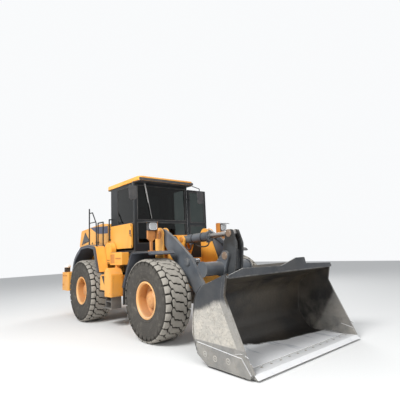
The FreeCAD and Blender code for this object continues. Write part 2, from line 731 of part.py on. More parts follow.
def front_pins():
    # pins that the towers and brackets hold: boom pins and the tilt cylinder's base pin
    pins = []
    for side in (-1, 1):
        pins.append(disc(side * TOWER_IN, side * 745, BOOM_PIN, 55))
    pins.append(disc(-145, 145, TILT_BASE, TILT_PIN_R))
    return pins


def boom():
    shapes = []
    outline = ((-1225, 2215, 60), (-1400, 2215, 60), (-1790, 1990, 120), (-2300, 1605, 220), (-2640, 1115, 200),
               (-3165, 470, 40), (-3065, 365, 40), (-2640, 700, 200), (-2200, 1095, 250), (-1650, 1610, 200),
               (-1340, 1960, 60))
    for side in (-1, 1):
        arm = fuse([prism_x(side * ARM_IN, side * ARM_OUT, outline),
                    disc(side * ARM_IN, side * ARM_OUT, BOOM_PIN, 130),
                    disc(side * ARM_IN, side * ARM_OUT, BUCKET_PIN, 76)])
        arm = cut(arm, [disc(side * 600, side * 720, BOOM_PIN, 56), disc(side * 600, side * 720, BUCKET_PIN, 46)])
        shapes.append(arm)
        shapes.append(disc(side * (LIFT_X + 52), side * (ARM_OUT + 20), LIFT_EYE, 80))
        shapes.append(link_plate(side * 115, side * 165, CROSS_TUBE, 160, CRANK_PIN, 100))
        shapes.append(disc(side * (ARM_IN - 25), side * ARM_IN, CROSS_TUBE, 150))
    shapes.append(disc(-ARM_IN, ARM_IN, CROSS_TUBE, 135))
    body = fuse(shapes)
    hole = [disc(side * 100, side * 180, CRANK_PIN, 50) for side in (-1, 1)]
    return cut(body, hole)


def crank_pin():
    return disc(-165, 165, CRANK_PIN, 50)


def bellcrank():
    outline = ((-2890, 2110, 60), (-2740, 2110, 60), (-2660, 1880, 200), (-2600, 1600, 90), (-2745, 1400, 100),
               (-2735, 1230, 200), (-2560, 900, 150), (-2455, 800, 60), (-2455, 650, 60), (-2610, 650, 60),
               (-2720, 860, 200), (-2890, 1150, 300), (-2960, 1450, 300), (-3000, 1830, 200))
    shapes = []
    for side in (-1, 1):
        shapes.append(prism_x(side * CRANK_GAP, side * CRANK_OUT, outline))
    shapes.append(disc(-CRANK_OUT, CRANK_OUT, CRANK_PIN, 95))
    shapes.append(box(-CRANK_GAP, CRANK_GAP, -2900, -2790, 1330, 1700))
    body = fuse(shapes)
    tools = [disc(-120, 120, CRANK_PIN, 50.5)]
    return cut(body, tools)


def tilt_link():
    # bowed upward, to pass the bucket's back wall when the bucket is tipped out
    length = math.hypot(CRANK_LOW[0] - BUCKET_LUG[0], CRANK_LOW[1] - BUCKET_LUG[1])
    places = ((0, 75), (160, 102, 120), (length - 160, 102, 120), (length, 70),
              (length, -70), (length - 110, -25, 80), (150, -25, 80), (60, -62, 40), (0, -75))
    ay = (CRANK_LOW[0] - BUCKET_LUG[0]) / length
    az = (CRANK_LOW[1] - BUCKET_LUG[1]) / length
    outline = [(BUCKET_LUG[0] + d * ay - h[0] * az, BUCKET_LUG[1] + d * az + h[0] * ay) + tuple(h[1:])
               for d, *h in places]
    body = fuse([prism_x(-BAR_HALF, BAR_HALF, outline), disc(-BAR_HALF, BAR_HALF, CRANK_LOW, 70),
                 disc(-BAR_HALF, BAR_HALF, BUCKET_LUG, 75)])
    return cut(body, [disc(-70, 70, BUCKET_LUG, 42.5)])


def link_pin():
    return disc(-CRANK_OUT, CRANK_OUT, BUCKET_LUG, 42)


def tilt_barrel():
    a = TILT_BASE
    b = CRANK_TOP
    s = along(a, b, 90)
    e = along(a, b, 840)
    barrel = rod((0, s[0], s[1]), (0, e[0], e[1]), TILT_R)
    cap = rod((0,) + along(a, b, 790), (0,) + e, TILT_R + 15)
    eye = disc(-100, 100, a, 85)
    neck = link_plate(-60, 60, a, 70, s, 70)
    body = fuse([barrel, cap, eye, neck])
    bore = rod((0,) + along(a, b, 140), (0,) + along(a, b, 900), TILT_ROD_R + 1)
    return cut(body, [bore, disc(-110, 110, a, TILT_PIN_R + SLIP)])


def tilt_rod():
    a = TILT_BASE
    b = CRANK_TOP
    length = math.hypot(b[0] - a[0], b[1] - a[1])
    shaft = rod((0,) + along(a, b, 340), (0,) + along(a, b, length - 40), TILT_ROD_R)
    eye = disc(-BAR_HALF, BAR_HALF, b, 72)
    return fuse([shaft, eye])


def lift_barrel():
    a = LIFT_BASE
    b = LIFT_EYE
    s = along(a, b, 70)
    e = along(a, b, 1020)
    barrel = rod((LIFT_X,) + s, (LIFT_X,) + e, LIFT_R)
    eye = disc(LIFT_X - 55, LIFT_X + 55, a, 80)
    body = fuse([barrel, eye])
    bore = rod((LIFT_X,) + along(a, b, 150), (LIFT_X,) + along(a, b, 1100), LIFT_ROD_R + 1)
    return cut(body, [bore, disc(LIFT_X - 60, LIFT_X + 60, a, LIFT_PIN_R + SLIP)])


def lift_rod():
    a = LIFT_BASE
    b = LIFT_EYE
    length = math.hypot(b[0] - a[0], b[1] - a[1])
    shaft = rod((LIFT_X,) + along(a, b, 200), (LIFT_X,) + along(a, b, length - 40), LIFT_ROD_R)
    eye = disc(LIFT_X - 50, LIFT_X + 50, b, 75)
    return fuse([shaft, eye])


def lift_base_pins():
    pins = []
    for side in (-1, 1):
        pins.append(disc(side * 360, side * TOWER_IN, LIFT_BASE, LIFT_PIN_R))
        pins.append(disc(side * (LIFT_X + 60), side * TOWER_IN, LIFT_BASE, LIFT_PIN_R + 18))
        pins.append(disc(side * 360, side * (LIFT_X - 60), LIFT_BASE, LIFT_PIN_R + 18))
    return pins


def steer_place(distance):
    dx = STEER_EYE[0] - STEER_BASE[0]
    dy = STEER_EYE[1] - STEER_BASE[1]
    length = math.hypot(dx, dy)
    return (STEER_BASE[0] + dx * distance / length, STEER_BASE[1] + dy * distance / length, STEER_Z)


def steer_barrel():
    eye = post(STEER_BASE[0], STEER_BASE[1], STEER_Z - 35, STEER_Z + 35, 50)
    body = fuse([rod(steer_place(80), steer_place(660), 45), rod(steer_place(20), steer_place(90), 33), eye])
    bore = post(STEER_BASE[0], STEER_BASE[1], STEER_Z - 60, STEER_Z + 60, 25.5)
    return cut(body, [rod(steer_place(90), steer_place(700), 27), bore])


def steer_rod():
    length = math.hypot(STEER_EYE[0] - STEER_BASE[0], STEER_EYE[1] - STEER_BASE[1])
    eye = post(STEER_EYE[0], STEER_EYE[1], STEER_Z - 35, STEER_Z + 35, 48)
    return fuse([rod(steer_place(430), steer_place(length - 30), 26), eye])


def rim(x, y):
    # barrel, flanges, dished plate and planetary hub, turned about the axle; outer side toward +x
    profile = ((-BEAD_HALF - 20, RIM_R - 5), (-BEAD_HALF - 20, FLANGE_R), (-BEAD_HALF, FLANGE_R), (-BEAD_HALF, RIM_R),
               (BEAD_HALF, RIM_R), (BEAD_HALF, FLANGE_R), (BEAD_HALF + 20, FLANGE_R), (BEAD_HALF + 20, RIM_R - 5),
               (BEAD_HALF, RIM_R - 20), (45, RIM_R - 25), (15, 250), (20, 172), (120, 162), (150, 130), (150, 0.0),
               (STUB_END - HALF_TRACK + 5, 0.0), (STUB_END - HALF_TRACK + 5, STUB_R + SLIP), (-115, STUB_R + SLIP), (-115, 200), (-20, 210), (-10, RIM_R - 25), (-BEAD_HALF, RIM_R - 20))
    points = [V(px * KX, 0, pr * KZ) for px, pr in profile]
    wire = Part.makePolygon(points + [points[0]])
    solid = Part.Face(wire).revolve(V(0, 0, 0), V(1, 0, 0), 360)
    solid.translate(pt(x, y, AXLE_Z))
    return solid


def tyre(x, y):
    # flats round the axle, every other one raised as a lug, left and right half in turn, a rib between them
    half = TYRE_W / 2.0 / KX
    top = TYRE_D / 2.0 / KZ
    grip = 1.0 / math.cos(math.pi / TYRE_SIDES)
    wall = ((BEAD_HALF, RIM_R * grip), (BEAD_HALF, 400.0), (half, 570.0), (half - 18, 700.0))
    raised = ((half - 52, 774.0), (205.0, top * grip), (22.0, top * grip))
    sunk = ((half - 66, 742.0), (200.0, (top - 40) * grip), (22.0, (top - 40) * grip))
    rib = (22.0, (top - 18) * grip)
    centre = pt(x, y, AXLE_Z)

    def place(side, item, k):
        angle = 2 * math.pi * (k + 0.5) / TYRE_SIDES
        return V(centre.x + side * item[0] * KX, centre.y + item[1] * KZ * math.sin(angle),
                 centre.z - item[1] * KZ * math.cos(angle))

    def face(points):
        return Part.Face(Part.makePolygon(points + [points[0]]))

    faces = []
    for k in range(TYRE_SIDES):
        for side in (-1, 1):
            line = wall + (raised if (k % 2 == 0) == (side > 0) else sunk) + (rib,)
            for a, b in zip(line[:-1], line[1:]):
                faces.append(face([place(side, a, k), place(side, b, k), place(side, b, k + 1), place(side, a, k + 1)]))
            ring = (wall[-1],) + raised + (rib,) + tuple(reversed(sunk))
            faces.append(face([place(side, item, k) for item in ring]))
        for item in (wall[0], rib):
            faces.append(face([place(-1, item, k), place(1, item, k), place(1, item, k + 1), place(-1, item, k + 1)]))
    return Part.Solid(Part.makeShell(faces))


# bucket

def bucket():
    w = 1430.0
    outer = ((-4200, 30), (-3460, 30, 330), (-3190, 420, 300), (-3270, 960, 300), (-3500, 1180, 200), (-4050, 1345),
             (-4062, 1312), (-3515, 1146, 170), (-3303, 945, 270), (-3225, 425, 270), (-3478, 62, 300), (-4200, 62))
    shell = prism_x(-w, w, outer)
    side_outline = ((-4400, 45), (-4200, 30), (-3460, 30, 330), (-3190, 420, 300), (-3270, 960, 300), (-3500, 1180, 200),
                    (-4040, 1370), (-3970, 1050, 80), (-4440, 75, 20))
    shapes = [shell]
    for side in (-1, 1):
        shapes.append(prism_x(side * (w - 30), side * w, side_outline))
        shapes.append(prism_x(side * w, side * (w + 20), ((-4400, 30), (-3560, 30), (-3330, 160), (-3330, 330),
                                                          (-4260, 260), (-4420, 75))))
    # spill guard, higher left of the middle, with a flange leaning back behind its lower part
    shapes.append(prism_y(-4062, -4040, ((-1400, 1310), (-1400, 1345), (-1080, 1427, 60), (-170, 1402, 60), (280, 1520, 40),
                                         (530, 1520, 20), (565, 1412), (1400, 1376), (1400, 1310))))
    shapes.append(prism_x(-820, 540, ((-4052, 1372), (-3985, 1440), (-3995, 1450), (-4062, 1382))))
    lugs = []
    for side in (-1, 1):
        for x0, x1 in ((595, 625), (695, 725)):
            lugs.append(prism_x(side * x0, side * x1, ((-3330, 250), (-3100, 310, 60), (-3010, 400, 60), (-3080, 540, 60),
                                                       (-3200, 800), (-3330, 900))))
        lugs.append(prism_x(side * 65, side * CRANK_OUT, ((-3330, 500), (-3110, 600, 60), (-3060, 700, 60), (-3110, 800, 60),
                                                          (-3330, 900))))
    inner = ((-4300, 62), (-3478, 62, 300), (-3225, 425, 270), (-3303, 945, 270), (-3515, 1146, 170), (-4062, 1312),
             (-4300, 1312))
    lugs = cut(fuse(lugs), [prism_x(-w, w, inner)])
    body = fuse(shapes + lugs.Solids)
    tools = [disc(side * 580, side * 740, BUCKET_PIN, 46) for side in (-1, 1)]
    tools.append(disc(-120, 120, BUCKET_LUG, 42.5))
    return cut(body, tools)


def bucket_pins():
    return [disc(side * 595, side * 725, BUCKET_PIN, 45) for side in (-1, 1)]


def cutting_edge():
    return prism_x(-1400, 1400, ((LIP_Y, 26), (-4200, 26), (-4200, 62), (-4360, 78), (-4430, 78)))


def build():
    frame = rear_frame()
    save("rear_frame", [fuse([frame] + hinge_pins() + [cab_base()])])
    save("counterweight", [counterweight()])
    save("engine", [engine()])
    save("cooler", [cooler()])
    save("tanks", pair(fuel_tank()))
    save("side_boxes", pair(side_box()))
    save("platforms", pair(platform()))
    save("engine_cover", [engine_cover()])
    save("hood", [hood()])
    save("rear_grille", [rear_grille()])
    save("rear_axle", [rear_axle_full()])
    save("drive_shaft_rear", rear_shaft())
    save("cab_frame", [cab_frame()])
    save("cab_glass", cab_glass())
    save("cab_side_panel", cab_side_panel())
    save("cab_roof", [cab_roof()])
    frame_part, glass = cab_door()
    save("cab_door", [frame_part])
    save("cab_door_glass", glass)
    save("seat", [seat()])
    save("steering_column", [steering_column()])
    fender_left = rear_fender()
    save("rear_fender_left", [fender_left])
    save("rear_fender_right", [flip(fender_left)])
    save("handrails", handrails(fender_left))
    save("steps", pair(steps()))
    save("exhaust_stack", [exhaust_stack()])
    save("tail_lamps", pair(tail_lamp()))
    barrel = steer_barrel()
    save("steer_barrel_left", [barrel])
    save("steer_barrel_right", [flip(barrel)])
    rod_part = steer_rod()
    save("steer_rod_left", [rod_part])
    save("steer_rod_right", [flip(rod_part)])

    save("front_frame", [fuse([front_frame()] + front_pins() + lift_base_pins())])
    save("front_axle", [front_axle_full()])
    save("drive_shaft_front", [front_shaft()])
    front = front_fenders()
    save("front_fender_left", [front])
    save("front_fender_right", [flip(front)])
    save("headlamps", pair(fuse([headlamp(), lamp_lens()])))
    barrel = lift_barrel()
    save("lift_barrel_left", [barrel])
    save("lift_barrel_right", [flip(barrel)])
    rod_part = lift_rod()
    save("lift_rod_left", [rod_part])
    save("lift_rod_right", [flip(rod_part)])
    save("tilt_barrel", [tilt_barrel()])
    save("tilt_rod", [tilt_rod()])
    save("boom", [boom()])
    save("bellcrank_pin", [crank_pin()])
    save("bellcrank", [bellcrank()])
    save("link_pin", [link_pin()])
    save("tilt_link", [tilt_link()])
    save("bucket", [bucket()])
    save("cutting_edge", [cutting_edge()])
    save("bucket_pins", bucket_pins())

    for name, side, y in (("front_left", 1, FRONT_AXLE_Y), ("front_right", -1, FRONT_AXLE_Y),
                          ("rear_left", 1, REAR_AXLE_Y), ("rear_right", -1, REAR_AXLE_Y)):
        hub = rim(HALF_TRACK, y)
        rubber = tyre(HALF_TRACK, y)
        if side < 0:
            hub = flip(hub)
            rubber = flip(rubber)
        save("rim_" + name, [hub])
        save("tyre_" + name, [rubber])


build()
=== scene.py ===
# %% [markdown]
# # Dressing a wheel loader
# The construction step gives plain solids in one frame: +Y points to the tail, +X to the machine's left, +Z up.
# This file paints those solids and hangs finer pieces on them, such as tyres with blocks, lamps, hoses and a seat.
# It could all be sculpted by hand, but code keeps every piece in step with the solids when their sizes change.

import bpy
import bmesh
import math
import random
from mathutils import Matrix, Vector


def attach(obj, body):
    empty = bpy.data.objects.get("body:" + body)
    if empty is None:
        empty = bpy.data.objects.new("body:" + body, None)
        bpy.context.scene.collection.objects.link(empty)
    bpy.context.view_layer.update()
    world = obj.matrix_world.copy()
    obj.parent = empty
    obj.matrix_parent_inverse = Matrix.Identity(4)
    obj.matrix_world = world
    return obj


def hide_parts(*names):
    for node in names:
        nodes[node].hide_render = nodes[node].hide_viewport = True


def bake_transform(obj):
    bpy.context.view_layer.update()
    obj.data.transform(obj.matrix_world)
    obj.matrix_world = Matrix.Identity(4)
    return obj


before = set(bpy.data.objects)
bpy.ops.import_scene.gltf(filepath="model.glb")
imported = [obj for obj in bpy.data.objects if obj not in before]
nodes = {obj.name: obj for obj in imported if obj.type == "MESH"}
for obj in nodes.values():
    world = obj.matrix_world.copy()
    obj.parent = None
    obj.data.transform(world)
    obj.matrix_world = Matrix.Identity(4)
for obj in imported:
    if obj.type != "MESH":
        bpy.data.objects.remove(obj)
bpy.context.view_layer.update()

# %% [markdown]
# ## Where things are
# A loader is measured from its centre hinge, in millimetres. The frame's middle lies 450 mm behind that hinge,
# so one small function turns workshop numbers into the frame's metres, and every piece below uses it.

# %% Workshop numbers to metres
HINGE_BEHIND = 0.45
AXLE_Z = 800.0
HALF_TRACK = 1085.0
WHEELS = (("front_left", 1, -1650.0), ("front_right", -1, -1650.0), ("rear_left", 1, 1650.0), ("rear_right", -1, 1650.0))


def spot(x, y, z):
    return Vector((x / 1000.0, y / 1000.0 + HINGE_BEHIND, z / 1000.0))


# %% [markdown]
# ## The camera
# The picture was taken standing in front of the bucket's right corner, with a wide phone lens held slightly
# tilted. The place and angles come from fitting the wheels, cab and bucket, so the render can be laid over it.

# %% Camera
LENS_PIXELS = 342.34
TURN, NOD, TILT = 0.7038, 0.1475, -0.0448
ahead = Vector((math.sin(TURN) * math.cos(NOD), math.cos(TURN) * math.cos(NOD), math.sin(NOD)))
level = Vector((math.cos(TURN), -math.sin(TURN), 0.0))
up = level.cross(ahead)
right = level * math.cos(TILT) + up * math.sin(TILT)
top = up * math.cos(TILT) - level * math.sin(TILT)
camera_data = bpy.data.cameras.new("camera")
camera_data.sensor_width = 36.0
camera_data.lens = 36.0 * LENS_PIXELS / 400.0
camera = bpy.data.objects.new("camera", camera_data)
bpy.context.scene.collection.objects.link(camera)
turn = Matrix((right, top, -ahead)).transposed().to_4x4()
camera.matrix_world = Matrix.Translation((-4.921, -7.2012, 1.7091)) @ turn
bpy.context.scene.camera = camera
print("lens", round(camera_data.lens, 2), "mm")

# %% [markdown]
# ## Floor, sky and lamps
# A product picture wants a pale floor that keeps the shadow and soft light from large lamps. The world is white
# only where the camera, a mirror or glass looks at it; on the machine it gives a gentle fill, so the paint
# comes out about as bright as its written colour.

# %% Stage
scene = bpy.context.scene
scene.view_settings.view_transform = "Standard"


def lamp(name, place, size, watts, aim):
    data = bpy.data.lights.new(name, "AREA")
    data.shape = "DISK"
    data.size = size
    data.energy = watts
    made = bpy.data.objects.new(name, data)
    made.matrix_world = Matrix.Translation(place) @ (Vector(aim) - Vector(place)).to_track_quat("-Z", "Y").to_matrix().to_4x4()
    scene.collection.objects.link(made)
    return made


lamp("key", (-9.0, -3.0, 9.5), 4.5, 1500.0, (0, 0, 1.0))
lamp("side", (-3.0, -11.0, 5.0), 6.0, 420.0, (0, -1.0, 1.0))
lamp("back", (8.0, 7.0, 8.0), 6.0, 500.0, (0, 0, 1.0))

world = bpy.data.worlds.new("studio")
scene.world = world
world.use_nodes = True
sky = world.node_tree
sky.nodes.clear()
seen = sky.nodes.new("ShaderNodeLightPath")
either = sky.nodes.new("ShaderNodeMath")
either.operation = "MAXIMUM"
either_glass = sky.nodes.new("ShaderNodeMath")
either_glass.operation = "MAXIMUM"
fill = sky.nodes.new("ShaderNodeBackground")
fill.inputs["Color"].default_value = (0.93, 0.96, 1.0, 1)
fill.inputs["Strength"].default_value = 0.55
white = sky.nodes.new("ShaderNodeBackground")
white.inputs["Color"].default_value = (0.95, 0.96, 0.97, 1)
white.inputs["Strength"].default_value = 1.0
choose = sky.nodes.new("ShaderNodeMixShader")
out = sky.nodes.new("ShaderNodeOutputWorld")
sky.links.new(seen.outputs["Is Camera Ray"], either.inputs[0])
sky.links.new(seen.outputs["Is Glossy Ray"], either.inputs[1])
sky.links.new(either.outputs[0], either_glass.inputs[0])
sky.links.new(seen.outputs["Is Transmission Ray"], either_glass.inputs[1])
sky.links.new(either_glass.outputs[0], choose.inputs[0])
sky.links.new(fill.outputs[0], choose.inputs[1])
sky.links.new(white.outputs[0], choose.inputs[2])
sky.links.new(choose.outputs[0], out.inputs[0])

floor_mesh = bpy.data.meshes.new("floor")
reach = 30.0
floor_mesh.from_pydata([(-reach, -reach, 0), (reach, -reach, 0), (reach, reach, 0), (-reach, reach, 0)], [], [(0, 1, 2, 3)])
floor = bpy.data.objects.new("floor", floor_mesh)
floor.location.z = -0.002
scene.collection.objects.link(floor)

# %% [markdown]
# ## Small tools for shaders
# Writing node trees by hand is long, so three helpers make a node, a sum and a colour mix. A shader group is a
# recipe that several paints share: edge wear, settled dust, run marks, scratches and the paint's own skin.
# They read object coordinates, so the marks stay put when a joint moves.

# %% Shader helpers


def put(tree, kind, settings=None, **sockets):
    made = tree.nodes.new("ShaderNode" + kind)
    for key, value in (settings or {}).items():
        setattr(made, key, value)
    for key, value in sockets.items():
        socket = made.inputs[key.replace("_", " ")]
        if isinstance(value, bpy.types.NodeSocket):
            tree.links.new(value, socket)
        else:
            socket.default_value = value
    return made


def calc(tree, what, *values, clamp=False):
    made = put(tree, "Math", {"operation": what, "use_clamp": clamp})
    for socket, value in zip(made.inputs, values):
        if isinstance(value, bpy.types.NodeSocket):
            tree.links.new(value, socket)
        else:
            socket.default_value = value
    return made.outputs[0]


def span(tree, value, low, high, start=0.0, end=1.0):
    made = put(tree, "MapRange", {"interpolation_type": "SMOOTHSTEP"})
    tree.links.new(value, made.inputs[0])
    for index, number in enumerate((low, high, start, end)):
        made.inputs[index + 1].default_value = number
    return made.outputs[0]


def colours(tree, share, first, second, mode="MIX"):
    made = put(tree, "Mix", {"data_type": "RGBA", "blend_type": mode})
    for index, value in ((0, share), (6, first), (7, second)):
        if isinstance(value, bpy.types.NodeSocket):
            tree.links.new(value, made.inputs[index])
        else:
            made.inputs[index].default_value = value if index == 0 else (*value[:3], 1.0)
    return made.outputs[2]


def new_group(name, numbers, results):
    tree = bpy.data.node_groups.new(name, "ShaderNodeTree")
    for label, start in numbers:
        tree.interface.new_socket(label, in_out="INPUT", socket_type="NodeSocketFloat").default_value = start
    for label in results:
        tree.interface.new_socket(label, in_out="OUTPUT", socket_type="NodeSocketFloat")
    return tree, tree.nodes.new("NodeGroupInput").outputs, tree.nodes.new("NodeGroupOutput").inputs


def use(tree, group, **numbers):
    made = tree.nodes.new("ShaderNodeGroup")
    made.node_tree = group
    for key, value in numbers.items():
        made.inputs[key].default_value = value
    return made.outputs


# %% [markdown]
# ### Edge wear
# Paint goes first where plates end. The real cause is rubbing; the cheap way to find an edge is to compare the
# surface's own direction with one rounded over a few millimetres. Where they differ there is an edge, and noise
# breaks it up so that it doesn't look like a drawn line.

# %% Edge wear group
edge_wear, given, result = new_group("edge wear", (("Width", 0.012), ("Amount", 1.0), ("Grain", 14.0)), ("Mask",))
rounded = put(edge_wear, "Bevel", {"samples": 4}, Radius=given["Width"])
flat = put(edge_wear, "NewGeometry")
same = put(edge_wear, "VectorMath", {"operation": "DOT_PRODUCT"})
edge_wear.links.new(rounded.outputs[0], same.inputs[0])
edge_wear.links.new(flat.outputs["Normal"], same.inputs[1])
bent = span(edge_wear, calc(edge_wear, "SUBTRACT", 1.0, same.outputs["Value"]), 0.01, 0.16)
coords = put(edge_wear, "TexCoord").outputs["Object"]
broken = put(edge_wear, "TexNoise", Vector=coords, Scale=given["Grain"], Detail=5.0, Roughness=0.65)
patchy = span(edge_wear, broken.outputs[0], 0.42, 0.62)
edge_wear.links.new(calc(edge_wear, "MULTIPLY", calc(edge_wear, "MULTIPLY", bent, patchy), given["Amount"], clamp=True), result["Mask"])

# %% [markdown]
# ### Settled dust
# Quarry dust lies on what faces up and is thrown on what is near the ground. The mask adds both, then clouds
# and fine specks break it up.

# %% Settled dust group
dust, given, result = new_group("settled dust", (("Amount", 0.6), ("Grain", 3.0), ("Foot", 1.4)), ("Mask", "Specks"))
here = put(dust, "TexCoord")
facing = put(dust, "SeparateXYZ", Vector=here.outputs["Normal"])
lying = span(dust, facing.outputs[2], 0.25, 0.95)
height = put(dust, "SeparateXYZ", Vector=here.outputs["Object"])
thrown = calc(dust, "SUBTRACT", 1.0, calc(dust, "DIVIDE", height.outputs[2], given["Foot"]), clamp=True)
cloud = put(dust, "TexNoise", Vector=here.outputs["Object"], Scale=given["Grain"], Detail=6.0, Roughness=0.62)
speck = put(dust, "TexNoise", Vector=here.outputs["Object"], Scale=calc(dust, "MULTIPLY", given["Grain"], 22.0), Detail=3.0)
lie = calc(dust, "MULTIPLY_ADD", lying, 0.75, calc(dust, "MULTIPLY", thrown, 0.8))
lie = calc(dust, "MULTIPLY", calc(dust, "ADD", lie, 0.12), span(dust, cloud.outputs[0], 0.32, 0.68))
lie = calc(dust, "MULTIPLY", lie, calc(dust, "MULTIPLY_ADD", speck.outputs[0], 0.7, 0.62))
dust.links.new(calc(dust, "MULTIPLY", lie, given["Amount"], clamp=True), result["Mask"])
dust.links.new(speck.outputs[0], result["Specks"])

# %% [markdown]
# ### Run marks and colour drift
# Rain draws dirty water down the sides and leaves upright streaks, and sun fades paint in soft patches. Both
# are noise: the streaks from noise stretched along Z, the fading from large soft clouds.

# %% Run mark group
runs, given, result = new_group("run marks", (("Amount", 0.5), ("Grain", 9.0)), ("Mask", "Drift"))
here = put(runs, "TexCoord")
thin = put(runs, "Mapping", Vector=here.outputs["Object"], Scale=(1.0, 1.0, 0.09))
streak = put(runs, "TexNoise", Vector=thin.outputs[0], Scale=given["Grain"], Detail=4.0, Roughness=0.7)
side = put(runs, "SeparateXYZ", Vector=here.outputs["Normal"])
upright = calc(runs, "SUBTRACT", 1.0, calc(runs, "ABSOLUTE", side.outputs[2]), clamp=True)
soft = put(runs, "TexNoise", Vector=here.outputs["Object"], Scale=1.1, Detail=3.0)
marks = calc(runs, "MULTIPLY", span(runs, streak.outputs[0], 0.5, 0.78), upright)
runs.links.new(calc(runs, "MULTIPLY", marks, given["Amount"], clamp=True), result["Mask"])
runs.links.new(span(runs, soft.outputs[0], 0.35, 0.65), result["Drift"])

# %% [markdown]
# ### Skin and scratches
# Sprayed paint has a fine orange-peel skin, castings are rougher, and a bucket is scored in the digging
# direction. One group gives a height for the skin; the other gives long thin scores.

# %% Skin and scratch groups
skin, given, result = new_group("surface skin", (("Grain", 260.0), ("Dents", 5.0)), ("Height",))
here = put(skin, "TexCoord").outputs["Object"]
fine = put(skin, "TexNoise", Vector=here, Scale=given["Grain"], Detail=2.0)
broad = put(skin, "TexNoise", Vector=here, Scale=given["Dents"], Detail=4.0)
skin.links.new(calc(skin, "MULTIPLY_ADD", fine.outputs[0], 0.25, broad.outputs[0]), result["Height"])

scores, given, result = new_group("scores", (("Amount", 1.0), ("Grain", 26.0)), ("Mask",))
here = put(scores, "TexCoord").outputs["Object"]
marks = None
for turned_by, stretch in (((0.0, 0.0, 0.06), (1.0, 0.05, 0.12)), ((0.3, 0.0, -0.35), (1.0, 0.09, 0.1))):
    place = put(scores, "Mapping", Vector=here, Rotation=turned_by, Scale=stretch)
    grain = put(scores, "TexNoise", Vector=place.outputs[0], Scale=given["Grain"], Detail=7.0, Roughness=0.75)
    ridge = calc(scores, "ABSOLUTE", calc(scores, "SUBTRACT", grain.outputs[0], 0.5))
    line = span(scores, ridge, 0.03, 0.0)
    marks = line if marks is None else calc(scores, "MAXIMUM", marks, line)
scores.links.new(calc(scores, "MULTIPLY", marks, given["Amount"], clamp=True), result["Mask"])
print("shader groups:", [g.name for g in bpy.data.node_groups])

# %% [markdown]
# ## Paints and metals
# Each paint is the same recipe with its own numbers: a colour that fades in patches, chips along edges down to
# a darker or metal ground, run marks, dust on top and a fine bump. Making one function for the recipe keeps the
# paints alike, as they are on a machine that has worked in one quarry.

# %% Paint recipe
DUST = (0.40, 0.33, 0.25)
finishes = {}


def new_finish(name):
    made = bpy.data.materials.new(name)
    made.use_nodes = True
    tree = made.node_tree
    shader = tree.nodes["Principled BSDF"]
    finishes[name] = made
    return tree, shader


def bump(tree, shader, height, strength, depth):
    made = put(tree, "Bump", Strength=strength, Distance=depth)
    tree.links.new(height, made.inputs["Height"])
    tree.links.new(made.outputs[0], shader.inputs["Normal"])


def painted(name, paint, faded, ground, rough=0.42, wear=0.8, width=0.012, dusty=0.6, foot=1.4, streaks=0.4,
            bare=0.0, coat=0.15, dents=5.0):
    tree, shader = new_finish(name)
    drift = use(tree, runs, Amount=streaks, Grain=9.0)
    colour = colours(tree, drift["Drift"], paint, faded)
    colour = colours(tree, drift["Mask"], colour, [c * 0.35 + 0.02 for c in paint])
    worn = use(tree, edge_wear, Amount=wear, Width=width, Grain=13.0)["Mask"]
    colour = colours(tree, worn, colour, ground)
    lie = use(tree, dust, Amount=dusty, Foot=foot, Grain=2.6)
    colour = colours(tree, lie["Mask"], colour, DUST)
    tree.links.new(colour, shader.inputs["Base Color"])
    tree.links.new(calc(tree, "MULTIPLY_ADD", lie["Mask"], 0.45, rough, clamp=True), shader.inputs["Roughness"])
    if bare:
        tree.links.new(calc(tree, "MULTIPLY", worn, bare), shader.inputs["Metallic"])
    shader.inputs["Coat Weight"].default_value = coat
    shader.inputs["Coat Roughness"].default_value = 0.3
    skin_height = use(tree, skin, Grain=240.0, Dents=dents)["Height"]
    height = calc(tree, "SUBTRACT", skin_height, calc(tree, "MULTIPLY", worn, 0.6))
    bump(tree, shader, height, 0.25, 0.002)
    return finishes[name]


# %% Paints
painted("yellow paint", (0.83, 0.345, 0.035), (0.86, 0.42, 0.075), (0.30, 0.13, 0.04), wear=0.55, dusty=0.42, streaks=0.28)
# A darker copy of the yellow paint for lamp posts and small fittings: its darkness is painted shade.
painted("shaded yellow paint", (0.50, 0.175, 0.026), (0.58, 0.23, 0.045), (0.16, 0.07, 0.03), wear=0.8, dusty=0.6, streaks=0.5)
painted("rim paint", (0.80, 0.36, 0.085), (0.86, 0.46, 0.16), (0.62, 0.45, 0.30), wear=1.0, dusty=0.6, streaks=0.1)
tree = finishes["rim paint"].node_tree
shader = tree.nodes["Principled BSDF"]
across = calc(tree, "ABSOLUTE", put(tree, "SeparateXYZ", Vector=put(tree, "TexCoord").outputs["Object"]).outputs[0])
# The deep part of the dish is mixed towards dark brown: painted shade, with some dirt.
deep = calc(tree, "MULTIPLY", span(tree, across, 1.325, 1.26), span(tree, across, 0.80, 0.86))
tree.links.new(colours(tree, calc(tree, "MULTIPLY", deep, 0.55), shader.inputs["Base Color"].links[0].from_socket, (0.42, 0.155, 0.04)),
               shader.inputs["Base Color"])
painted("slate paint", (0.042, 0.052, 0.065), (0.115, 0.130, 0.148), (0.30, 0.28, 0.25), rough=0.45, wear=0.9, width=0.016,
        dusty=0.42, streaks=0.3, bare=0.5)
painted("fender paint", (0.045, 0.053, 0.068), (0.07, 0.08, 0.10), (0.22, 0.21, 0.2), rough=0.5, wear=0.7, dusty=0.4)
painted("black paint", (0.013, 0.015, 0.017), (0.022, 0.024, 0.027), (0.12, 0.11, 0.10), rough=0.42, wear=0.4, dusty=0.13, foot=0.8)
finishes["black paint"].node_tree.nodes["Principled BSDF"].inputs["Specular IOR Level"].default_value = 0.14
painted("white plastic", (0.86, 0.87, 0.86), (0.80, 0.80, 0.78), (0.6, 0.6, 0.58), rough=0.35, wear=0.1, dusty=0.15, streaks=0.1)
painted("rusty steel", (0.17, 0.105, 0.065), (0.26, 0.19, 0.14), (0.42, 0.38, 0.33), rough=0.6, wear=1.0, dusty=0.3, bare=0.3)
